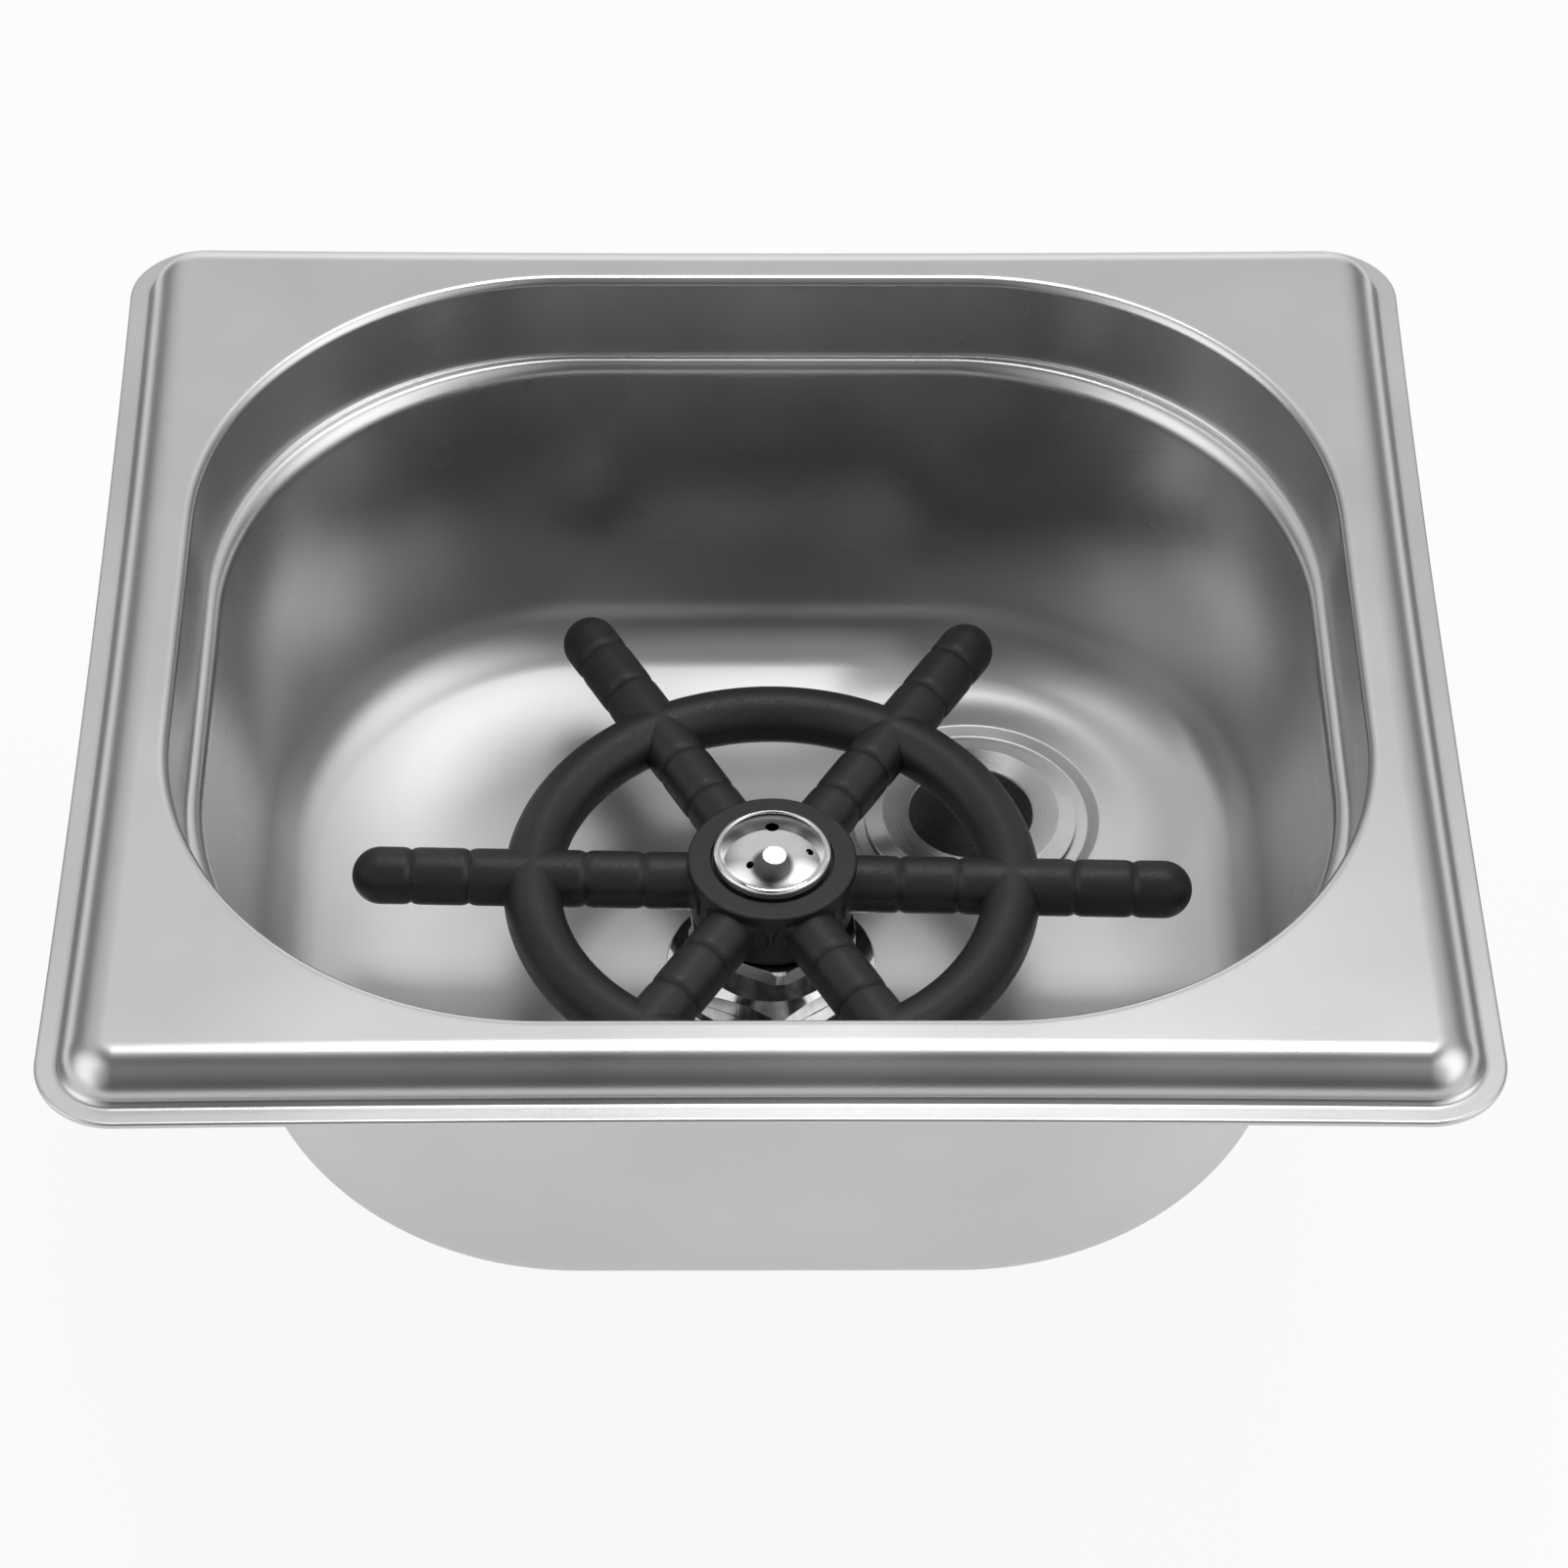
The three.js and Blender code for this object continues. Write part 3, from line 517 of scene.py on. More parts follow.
def new_object(name, vertices, faces):
    mesh = bpy.data.meshes.new(name)
    mesh.from_pydata([Vector(vertex) * MM for vertex in vertices], [], faces)
    shape = bmesh.new()
    shape.from_mesh(mesh)
    bmesh.ops.recalc_face_normals(shape, faces=shape.faces)
    shape.to_mesh(mesh)
    shape.free()
    made = bpy.data.objects.new(name, mesh)
    bpy.context.scene.collection.objects.link(made)
    return made


def fillet(before, corner, after, radius):
    """Points of an arc that rounds the corner between two straight lines."""
    back = (before - corner).normalized()
    onwards = (after - corner).normalized()
    half = back.angle(onwards) / 2
    reach = radius / math.tan(half)
    centre = corner + (back + onwards).normalized() * (radius / math.sin(half))
    start = corner + back * reach - centre
    end = corner + onwards * reach - centre
    sweep = start.angle(end)
    return [
        centre + (start * math.sin((1 - t) * sweep) + end * math.sin(t * sweep)) / math.sin(sweep)
        for t in spread(0, 1, FILLET_STEPS)
    ]


def rounded(outline):
    """Outline points (radius, height[, fillet]) with their fillets made into arcs."""
    points = [Vector(point[:2]) for point in outline]
    made = []
    for i, point in enumerate(outline):
        radius = point[2] if len(point) > 2 else 0
        if not radius:
            made.append(points[i])
            continue
        made += fillet(points[i - 1], points[i], points[(i + 1) % len(points)], radius)
    return made


def with_thread(points, radius, low, high):
    """The points and a thread between two heights of the outer wall, each with its share of the depth."""
    made = []
    for i, point in enumerate(points):
        made.append((point.x, point.y, 0))
        after = points[(i + 1) % len(points)]
        on_wall = abs(point.x - radius) < CLOSE and abs(after.x - radius) < CLOSE
        if not on_wall or abs(after.y - point.y) < THREAD_PITCH:
            continue
        steps = int(abs(high - low) / THREAD_PITCH * TURN_STEPS)
        heights = spread(high, low, steps)
        if after.y > point.y:
            heights.reverse()
        for z in heights:
            share = min(1, (high - z) / THREAD_FADE, (z - low) / THREAD_FADE)
            made.append((radius, z, max(0, share)))
    return made


def turned(name, outline, axis, steps=ROUND_STEPS, thread=None):
    """A form turned about an upright axis. An outline off the axis closes on itself."""
    points = rounded(outline)
    rows = with_thread(points, *thread) if thread else [(p.x, p.y, 0) for p in points]
    vertices, rings = [], []
    for radius, z, share in rows:
        if radius < CLOSE:
            rings.append([len(vertices)] * steps)
            vertices.append((axis.x, axis.y, z))
            continue
        ring = []
        for i in range(steps):
            angle = 2 * math.pi * i / steps
            phase = 2 * math.pi * z / THREAD_PITCH - angle
            reach = radius - share * THREAD_DEPTH * (0.5 + 0.5 * math.cos(phase))
            ring.append(len(vertices))
            vertices.append((axis.x + reach * math.cos(angle), axis.y + reach * math.sin(angle), z))
        rings.append(ring)
    pairs = list(zip(rings, rings[1:]))
    if outline[0][0] > 0:
        pairs.append((rings[-1], rings[0]))
    faces = []
    for upper, lower in pairs:
        for i in range(steps):
            j = (i + 1) % steps
            face = dict.fromkeys((upper[i], upper[j], lower[j], lower[i]))
            if len(face) > 2:
                faces.append(list(face))
    return new_object(name, vertices, faces)


def soft_ring(name, inner, outer, z, axis):
    """An O-ring between an inner and an outer radius."""
    section = (outer - inner) / 2
    middle = (outer + inner) / 2
    outline = [
        (middle + section * math.cos(angle), z + section * math.sin(angle))
        for angle in spread(0, 2 * math.pi, SECTION_STEPS)[:-1]
    ]
    return turned(name, outline, axis, RING_STEPS)


def settled(piece):
    """The piece with its modifiers made part of its mesh."""
    bpy.context.view_layer.update()
    shown = piece.evaluated_get(bpy.context.evaluated_depsgraph_get())
    mesh = bpy.data.meshes.new_from_object(shown)
    piece.modifiers.clear()
    piece.data = mesh
    return piece


def combined(piece, operation, *tools):
    for tool in tools:
        modifier = piece.modifiers.new("combined", "BOOLEAN")
        modifier.operation = operation
        modifier.solver = "MANIFOLD"
        modifier.object = tool
        settled(piece)
        bpy.data.objects.remove(tool)
    return piece


def hexagon(name, flat_radius, low, high, axis, bevel, turn=0.0):
    """A hexagonal prism with bevelled edges and a corner towards the front."""
    reach = flat_radius / math.cos(math.pi / 6)
    angles = [turn + math.pi / 6 + math.pi / 3 * i for i in range(6)]
    ring = [(axis.x + reach * math.cos(a), axis.y + reach * math.sin(a)) for a in angles]
    vertices = [(x, y, z) for z in (low, high) for x, y in ring]
    sides = [(i, (i + 1) % 6, (i + 1) % 6 + 6, i + 6) for i in range(6)]
    piece = new_object(name, vertices, [*sides, tuple(range(6)), tuple(range(6, 12))])
    modifier = piece.modifiers.new("edges", "BEVEL")
    modifier.width = bevel * MM
    modifier.segments = 3
    return settled(piece)


def nut(name, flat_radius, low, high, axis, bore, edge=0.12):
    """A hexagonal nut with chamfered corners and a bore with broken edges."""
    corner = flat_radius / math.cos(math.pi / 6)
    slope = (corner - flat_radius) / 2
    barrel = turned("barrel", [
        (bore, low + ROUND), (bore + ROUND, low), (flat_radius - edge, low),
        (corner, low + slope), (corner, high - slope), (flat_radius - edge, high),
        (bore + ROUND, high), (bore, high - ROUND),
    ], axis)
    return combined(hexagon(name, flat_radius, low, high, axis, edge), "INTERSECT", barrel)


def level_drill(radius, at, turn, steps):
    """A thin level cylinder through a point given in millimetres, for holes in a wall."""
    reach = DRILL_REACH
    outline = [(0, -reach), (radius, -reach), (radius, reach), (0, reach)]
    drill = turned("drill", outline, Vector((0, 0)), steps)
    lie = Matrix.Rotation(turn, 4, "Z") @ Matrix.Rotation(math.pi / 2, 4, "Y")
    drill.data.transform(Matrix.Translation(Vector(at) * MM) @ lie)
    return drill


SHARP = math.radians(32)


def finished(piece, material, body, slot, *nodes, sharp=SHARP):
    """Gives the piece its finish and its body, and lets it stand for its nodes."""
    mesh = piece.data
    mesh.materials.clear()
    mesh.materials.append(material)
    mesh.shade_smooth()
    mesh.set_sharp_from_angle(angle=sharp)
    modifier = piece.modifiers.new("normals", "WEIGHTED_NORMAL")
    modifier.keep_sharp = True
    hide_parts(*nodes)
    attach(piece, body)
    return piece


# Pan

def pan_levels():
    """The sheet's upper surface from the lip to the flat floor: inset, height, corner radius and bow."""
    basin = Place("basin")
    rim_top = basin.high
    floor_top = basin.low + SHEET + RECESS_DEPTH
    sunk = RIM_CURVE - RIM_RISE
    reach = math.sqrt((RIM_CURVE + LIP_FOLD) ** 2 - (LIP_FOLD + sunk) ** 2)
    rise_inset = LIP_WIDTH + reach
    mouth_inset = rise_inset + RIM_FLAT + MOUTH_BEND
    fold_inset = mouth_inset + COLLAR_LEAN
    fold_z = rim_top - COLLAR_DEPTH
    foot_inset = fold_inset + SHOULDER_STEP
    foot_z = fold_z - SHOULDER_DROP
    eased = (FLOOR_EASE - FLOOR_BEND) * (1 - math.cos(EASE_TILT))
    bend_z = floor_top + FLOOR_BEND + eased
    drafted = (foot_z - bend_z) * math.tan(WALL_DRAFT)
    bend_inset = foot_inset + drafted + FLOOR_BEND / math.cos(WALL_DRAFT)
    quarter = math.pi / 2
    levels = []

    def outer(inset, z):
        levels.append((inset, z, RIM_CORNER + rise_inset - inset, SIDE_BOW))

    def inner(inset, z, from_inset, radius=MOUTH_CORNER):
        levels.append((inset, z, radius + from_inset - inset, 0))

    outer(LIP_EDGE, SHEET)
    outer(2 * LIP_EDGE, SHEET)
    fold_start = math.asin((LIP_FOLD + sunk) / (RIM_CURVE + LIP_FOLD))
    outer(rise_inset - reach - SUPPORT, SHEET)
    for angle in spread(-quarter, -fold_start, FOLD_STEPS)[:-1]:
        inset = rise_inset - reach + LIP_FOLD * math.cos(angle)
        outer(inset, SHEET + LIP_FOLD * (1 + math.sin(angle)))
    for angle in spread(fold_start, quarter, RISE_STEPS):
        outer(rise_inset - RIM_CURVE * math.cos(angle), SHEET - sunk + RIM_CURVE * math.sin(angle))
    outer(rise_inset + SUPPORT, rim_top)
    inner(mouth_inset - MOUTH_BEND - SUPPORT, rim_top, mouth_inset)
    for angle in spread(0, quarter, MOUTH_STEPS):
        inset = mouth_inset - MOUTH_BEND * (1 - math.sin(angle))
        inner(inset, rim_top - MOUTH_BEND * (1 - math.cos(angle)), mouth_inset)
    collar_top = Vector((mouth_inset, rim_top - MOUTH_BEND))
    fold = Vector((fold_inset, fold_z))
    for share in COLLAR_SHARES:
        point = collar_top.lerp(fold, share)
        inner(point.x, point.y, point.x)
    along = fold + Vector((SHOULDER_STEP, 0))
    arc = fillet(collar_top, fold, along, COLLAR_FOLD)
    for point in arc:
        inner(point.x, point.y, point.x)
    flat_end = arc[-1].x
    step = foot_inset - flat_end
    shoulder_end = math.atan(step / (SHOULDER_DROP * math.tan(WALL_DRAFT)))
    for angle in spread(0, shoulder_end, MOUTH_STEPS)[1:]:
        inset = flat_end + step * math.sin(angle)
        inner(inset, fold_z - SHOULDER_DROP * (1 - math.cos(angle)), inset)
    wall_start = Vector(levels[-1][:2])
    bend_reach = FLOOR_BEND * math.cos(WALL_DRAFT)
    wall_end = Vector((bend_inset - bend_reach, bend_z - FLOOR_BEND * math.sin(WALL_DRAFT)))
    end_radius = MOUTH_CORNER + foot_inset - wall_end.x
    for share in WALL_SHARES:
        point = wall_start.lerp(wall_end, share)
        radius = MOUTH_CORNER + (end_radius - MOUTH_CORNER) * share
        inner(point.x, point.y, point.x, radius)
    for angle in spread(WALL_DRAFT, quarter - EASE_TILT, BEND_STEPS):
        inset = bend_inset - FLOOR_BEND * math.cos(angle)
        inner(inset, bend_z - FLOOR_BEND * math.sin(angle), foot_inset)
    ease_end = levels[-1][0] + FLOOR_EASE * math.sin(EASE_TILT)
    for tilt in spread(EASE_TILT, 0, EASE_STEPS)[1:]:
        inset = ease_end - FLOOR_EASE * math.sin(tilt)
        inner(inset, floor_top + FLOOR_EASE * (1 - math.cos(tilt)), foot_inset)
    inner(ease_end + SUPPORT, floor_top, foot_inset)
    return levels


def underside_of(levels):
    """The same levels moved through the sheet, with mitred folds."""
    flat = Vector((1, 0))

    def along(i):
        if i < 0 or i >= len(levels) - 1:
            return flat
        return (Vector(levels[i + 1][:2]) - Vector(levels[i][:2])).normalized()

    under = []
    for i, (inset, z, corner, bow) in enumerate(levels):
        before, after = along(i - 1), along(i)
        reach = SHEET / (1 + before.dot(after))
        shift = reach * (before.y + after.y)
        under.append((inset + shift, z - reach * (before.x + after.x), corner - shift, bow))
    return under


def pan_loop(level, half_width, half_length):
    """One level as a ring of points: four round corners joined by four bowed sides."""
    inset, z, corner, bow = level
    reach_x = half_width - inset - corner
    reach_y = half_length - inset - corner
    centres = [(reach_x, reach_y), (-reach_x, reach_y), (-reach_x, -reach_y), (reach_x, -reach_y)]

    def on_corner(quarter, turn):
        x, y = centres[quarter % 4]
        angle = turn * math.pi / 2
        return Vector((x + corner * math.cos(angle), y + corner * math.sin(angle), z))

    points = []
    for quarter in range(4):
        points += [on_corner(quarter, quarter + share) for share in spread(0, 1, CORNER_STEPS)]
        start = on_corner(quarter, quarter + 1)
        end = on_corner(quarter + 1, quarter + 1)
        inwards = Vector((0, -start.y, 0)) if quarter % 2 == 0 else Vector((-start.x, 0, 0))
        inwards.normalize()
        for share in spread(0, 1, SIDE_STEPS)[1:-1]:
            depth = bow * (1 - (2 * share - 1) ** 2)
            points.append(start.lerp(end, share) + inwards * depth)
    return points


def smooth(share):
    """A share of the way, kept between zero and one, with a soft start and end."""
    share = max(0, min(1, share))
    return share * share * (3 - 2 * share)


def level_round_drain(point, flat):
    """Presses the floor's gentle rise flat where it comes near the drain's recess."""
    away = math.hypot(point.x - DRAIN.x, point.y - DRAIN.y)
    away -= RECESS_RADIUS + RECESS_LAP + LEVEL_MARGIN
    kept = max(smooth(away / LEVEL_REACH), smooth((point.z - flat) / LEVEL_HEIGHT - 1))
    point.z = flat + (point.z - flat) * kept


def drawn_pan():
    basin = Place("basin")
    upper = pan_levels()
    floor_top = upper[-1][1]
    under = underside_of(upper)
    corner = upper[0][2] + LIP_EDGE
    edge = []
    for angle in spread(0, math.pi / 2, EDGE_STEPS)[:-1]:
        inset = LIP_EDGE * (1 - math.cos(angle))
        edge.append((inset, LIP_EDGE * (1 - math.sin(angle)), corner - inset, SIDE_BOW))
    top_edge = [(inset, SHEET - z, radius, bow) for inset, z, radius, bow in edge]
    levels = [*reversed(upper), *reversed(top_edge), *edge, *under]
    loops = [pan_loop(level, basin.radius, basin.depth) for level in levels]
    for row, loop in enumerate(loops):
        flat = floor_top if row < len(upper) else floor_top - SHEET
        for point in loop:
            if flat < point.z < flat + 2 * LEVEL_HEIGHT:
                level_round_drain(point, flat)
    count = len(loops[0])
    vertices = [point for loop in loops for point in loop]
    faces = []
    for row in range(len(loops) - 1):
        first, second = row * count, (row + 1) * count
        for i in range(count):
            j = (i + 1) % count
            faces.append((first + i, first + j, second + j, second + i))
    last = (len(loops) - 1) * count
    faces += [tuple(range(count)), tuple(range(last, last + count))]
    return new_object("basin_shell", vertices, faces)


def make_basin(material):
    basin = Place("basin")
    recess_under = basin.low
    recess_top = recess_under + SHEET
    floor_top = recess_top + RECESS_DEPTH
    floor_under = floor_top - SHEET
    lap = RECESS_RADIUS + RECESS_LAP
    opening = RECESS_RADIUS + RECESS_LAP / 2
    shell = drawn_pan()
    for axis, radius in ((DRAIN, opening), (VALVE, SHANK_BORE)):
        hole = [(0, floor_under - OVER), (radius, floor_under - OVER), (radius, floor_top)]
        hole += [(radius + OVER, floor_top + OVER), (0, floor_top + OVER)]
        combined(shell, "DIFFERENCE", turned("hole", hole, axis))
    recess = turned("recess", [
        (SHANK_BORE, recess_top), (RECESS_FLOOR, recess_top, RECESS_BEND),
        (RECESS_RADIUS, floor_top, RECESS_BEND), (lap, floor_top), (lap, floor_under),
        (RECESS_RADIUS, floor_under, RECESS_BEND), (RECESS_FLOOR, recess_under, RECESS_BEND),
        (SHANK_BORE, recess_under),
    ], DRAIN, ROUND_STEPS)
    combined(shell, "UNION", recess)
    finished(shell, material, "sink", "stainless", "basin")


# Wheel

def spoke_outline(reach):
    """Outline of a spoke along its length, from its round tip to its root, with its grooves."""
    grooves = [reach - TIP_GROOVE_INSET - order * GROOVE_PITCH for order in range(GROOVE_COUNT)]
    grooves = [at for at in grooves if abs(at - RING_RADIUS) > BAR_RADIUS]
    tip = reach - BAR_RADIUS
    along = set(spread(tip, SPOKE_ROOT, BAR_STEPS))
    along.update(spread(ROOT_START, ROOT_START + ROOT_FILLET, SMALL_STEPS))
    for at in grooves:
        along.update(at + step for step in spread(-GROOVE_SPAN, GROOVE_SPAN, GROOVE_STEPS))
    outline = [
        (BAR_RADIUS * math.sin(angle), tip + BAR_RADIUS * math.cos(angle))
        for angle in spread(0, math.pi / 2, SMALL_STEPS)
    ]
    for at in sorted((value for value in along if value < tip - TIP_GAP), reverse=True):
        depth = sum(
            GROOVE_DEPTH * math.exp(-((abs(at - groove) / GROOVE_REACH) ** GROOVE_SHARPNESS))
            for groove in grooves
        )
        outline.append((BAR_RADIUS - depth, at))
    return [*outline, (0, SPOKE_ROOT)]


def flare_root(spoke):
    """Widens a spoke towards its root, as the fillet between the spoke and the hub does."""
    for vertex in spoke.data.vertices:
        left = ROOT_FILLET - (vertex.co.z / MM - ROOT_START)
        if left > 0:
            growth = ROOT_FILLET - math.sqrt(ROOT_FILLET ** 2 - min(left, ROOT_FILLET) ** 2)
            vertex.co.y *= 1 + growth / BAR_RADIUS
            vertex.co.x *= 1 + ROOT_RISE_SHARE * growth / BAR_RADIUS


def make_wheel(material):
    wheel = Place("star_wheel")
    middle = (wheel.low + wheel.high) / 2
    ledge = wheel.high - HUB_CAP
    face = wheel.high - HUB_RECESS_DEPTH
    origin = Vector((0, 0, 0))
    hub = turned("star_wheel_moulding", [
        (WHEEL_BORE, wheel.low, EASED), (HUB_FOOT, wheel.low, ROUND), (HUB_WALL, middle, HUB_WAIST),
        (HUB_WALL, ledge, HUB_CREASE), (HUB_RADIUS, ledge, BROKEN), (HUB_RADIUS, wheel.high, HUB_EDGE),
        (HUB_RECESS_RADIUS, wheel.high, BROKEN), (HUB_RECESS_RADIUS, face, CRISP),
        (WHEEL_BORE, face, EASED),
    ], origin)
    ring = turned("ring", [
        (RING_RADIUS + BAR_RADIUS * math.cos(angle), middle + BAR_RADIUS * math.sin(angle))
        for angle in spread(0, 2 * math.pi, BAR_STEPS)[:-1]
    ], origin, FINE_STEPS)
    combined(hub, "UNION", ring)
    lay_flat = Matrix.Rotation(math.pi / 2, 4, "Y")
    lift = Matrix.Translation((0, 0, middle * MM))
    for order in range(SPOKE_COUNT):
        spoke = turned("spoke", spoke_outline(wheel.radius), origin, BAR_STEPS)
        flare_root(spoke)
        around = Matrix.Rotation(order * 2 * math.pi / SPOKE_COUNT, 4, "Z")
        spoke.data.transform(lift @ around @ lay_flat)
        combined(hub, "UNION", spoke)
    place = Matrix.Translation((VALVE.x * MM, VALVE.y * MM, 0))
    hub.data.transform(place @ Matrix.Rotation(WHEEL_TURN, 4, "Z"))
    finished(hub, material, "wheel", "black_plastic", "star_wheel", sharp=WHEEL_SHARP)


# Moving parts of the valve

# Spray holes in the cap: each one's place from the cap's axis, and its radius
SPRAY_HOLES = ((0, 2.4, 0.95), (-3, -3.9, 0.5), (5, -1.4, 0.5))


def make_nozzle(material):
    nozzle = Place("spray_nozzle")
    dome_height, dome_radius = 2.2, 7.05
    wall, bore, spigot, spigot_length = 1.0, 2.4, 3.5, 6
    rim_edge = 0.6
    groove_outer, groove_inner, groove_depth = 0.25, 0.1, 0.2
    drill_depth = 1.2
    flange_top = nozzle.high - dome_height
    seat = nozzle.low + spigot_length
    sphere = (dome_radius ** 2 + dome_height ** 2) / (2 * dome_height)

    def rise(radius):
        return math.sqrt(sphere ** 2 - radius ** 2) - (sphere - dome_height)

    outer = [(radius, flange_top + rise(radius)) for radius in spread(dome_radius, 0, DOME_STEPS)]
    cavity = dome_radius - wall
    inner = [(radius, flange_top + rise(radius) - wall) for radius in spread(0, cavity, CAVITY_STEPS)]
    piece = turned("spray_nozzle_cap", [
        *inner, (cavity, seat + wall), (bore, seat + wall), (bore, nozzle.low), (spigot, nozzle.low, SOFT),
        (spigot, seat), (nozzle.radius, seat, BROKEN), (nozzle.radius, flange_top, rim_edge),
        (dome_radius + groove_outer, flange_top, CRISP),
        (dome_radius + groove_inner, flange_top - groove_depth), *outer,
    ], nozzle)
    for x, y, radius in SPRAY_HOLES:
        at = Vector((nozzle.x + x, nozzle.y + y))
        low, high = flange_top - drill_depth, nozzle.high + OVER
        drill = turned("drill", [(0, low), (radius, low), (radius, high), (0, high)], at, DRILL_STEPS)
        combined(piece, "DIFFERENCE", drill)
    finished(piece, material, "stem", "chrome", "spray_nozzle")


def make_stem(material):
    stem = Place("valve_stem")
    upper, lower = Place("stem_o_ring_upper"), Place("stem_o_ring_lower")
    collar_low, collar_high, collar_edge = -48.95, -46.45, 0.35
    waist_top, waist_low = -62.6, -67.9
    waist, tail, waist_fillet, shoulder_edge = 4.4, 3.0, 0.4, 0.25
    socket, socket_low, pocket, pocket_low = 3.8, -43.15, 4.9, -38.25
    hollow_low, hollow_high = -50, -44
    port_radius, bore_past = 1.4, 5
    groove_half = 0.775
    bore_end = waist_top - bore_past

    def groove(ring):
        middle = (ring.low + ring.high) / 2
        return [
            (NECK_RADIUS, middle + groove_half, CRISP), (RING_GROOVE, middle + groove_half, BROKEN),
            (RING_GROOVE, middle - groove_half, BROKEN), (NECK_RADIUS, middle - groove_half, CRISP),
        ]

    piece = turned("valve_stem_shaft", [
        (pocket, stem.high, BROKEN), (JOURNAL_RADIUS, stem.high, BROKEN), (JOURNAL_RADIUS, collar_low),
        (NECK_RADIUS, collar_low), *groove(upper), *groove(lower), (NECK_RADIUS, waist_top, shoulder_edge),
        (waist, waist_top, waist_fillet), (waist, waist_low), (tail, waist_low), (tail, stem.low, SOFT),
        (0, stem.low), (0, bore_end), (STEM_BORE, bore_end, SOFT), (STEM_BORE, socket_low),
        (socket, socket_low), (socket, pocket_low), (pocket, pocket_low),
    ], stem)
    collar = hexagon("collar", HEX_FLAT, collar_low, collar_high, stem, CRISP, HEX_TURN)
    trim = turned("trim", [
        (0, collar_low), (HEX_TRIM - collar_edge, collar_low), (HEX_TRIM, collar_low + collar_edge),
        (HEX_TRIM, collar_high - collar_edge), (HEX_TRIM - collar_edge, collar_high), (0, collar_high),
    ], stem)
    combined(collar, "INTERSECT", trim)
    hollow = [(0, hollow_low), (socket, hollow_low), (socket, hollow_high), (0, hollow_high)]
    combined(collar, "DIFFERENCE", turned("hollow", hollow, stem))
    combined(piece, "UNION", collar)
    at = (stem.x, stem.y, (waist_top + waist_low) / 2)
    for turn in (0, math.pi / 2):
        combined(piece, "DIFFERENCE", level_drill(port_radius, at, turn, DRILL_STEPS))
    finished(piece, material, "stem", "chrome", "valve_stem")


# Flat rubber rings: node, radius of the bore, rounding of the edges, body
FLAT_RINGS = (
    ("valve_seal", 3.1, 0.25, "stem"),
    ("valve_gasket", SHANK_BORE, SOFT, "sink"),
    ("drain_gasket", SHANK_BORE, SOFT, "sink"),
    ("drain_top_gasket", SHANK_BORE, CRISP, "sink"),
    ("drain_tail_washer", 8.0, 0.25, "sink"),
)
ROUND_RINGS = (
    ("nozzle_o_ring", "stem"), ("stem_o_ring_upper", "stem"), ("stem_o_ring_lower", "stem"),
    ("adapter_o_ring", "sink"),
)


def make_seals(material):
    for node, body in ROUND_RINGS:
        ring = Place(node)
        section = (ring.high - ring.low) / 2
        middle = (ring.high + ring.low) / 2
        piece = soft_ring(node + "_round", ring.radius - 2 * section, ring.radius, middle, ring)
        finished(piece, material, body, "rubber", node)
    for node, bore, edge, body in FLAT_RINGS:
        ring = Place(node)
        outline = [
            (bore, ring.low, edge), (ring.radius, ring.low, edge),
            (ring.radius, ring.high, edge), (bore, ring.high, edge),
        ]
        finished(turned(node + "_ring", outline, ring, RING_STEPS), material, body, "rubber", node)


def make_retainer(material):
    retainer = Place("seal_retainer")
    bore, boss, disc, boss_edge = 3.1, 4.0, 1.5, 0.25
    disc_low = retainer.low + disc
    piece = turned("seal_retainer_turning", [
        (bore, retainer.low), (boss, retainer.low, boss_edge), (boss, disc_low, BROKEN),
        (retainer.radius, disc_low, EASED), (retainer.radius, retainer.high, EASED), (bore, retainer.high),
    ], retainer, RING_STEPS)
    finished(piece, material, "stem", "brass", "seal_retainer")


def make_spring(material):
    spring = Place("return_spring")
    wire, turns, sides, steps = 0.6, 5.5, 12, 32
    radius = 5.0
    axis = VALVE
    total = int(turns * steps)
    low, high = spring.low + wire, spring.high - wire
    pitch = (high - low) / turns
    lean = math.atan(pitch / (2 * math.pi * radius))
    vertices = []
    for step in range(total + 1):
        angle = step / steps * 2 * math.pi
        z = low + (high - low) * step / total
        outwards = Vector((math.cos(angle), math.sin(angle), 0))
        along = Vector((-math.sin(angle) * math.cos(lean), math.cos(angle) * math.cos(lean), math.sin(lean)))
        upwards = outwards.cross(along) * -1
        centre = Vector((axis.x, axis.y, z)) + outwards * radius
        for side in range(sides):
            turn = 2 * math.pi * side / sides
            vertices.append(centre + (outwards * math.cos(turn) + upwards * math.sin(turn)) * wire)
    faces = []
    for step in range(total):
        for side in range(sides):
            beside = (side + 1) % sides
            first, second = step * sides, (step + 1) * sides
            faces.append((first + side, first + beside, second + beside, second + side))
    faces += [tuple(range(sides)), tuple(range(total * sides, (total + 1) * sides))]
    piece = new_object("return_spring_wire", vertices, faces)
    finished(piece, material, "sink", "spring_steel", "return_spring")
    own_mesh(piece)


# Fixed parts of the valve

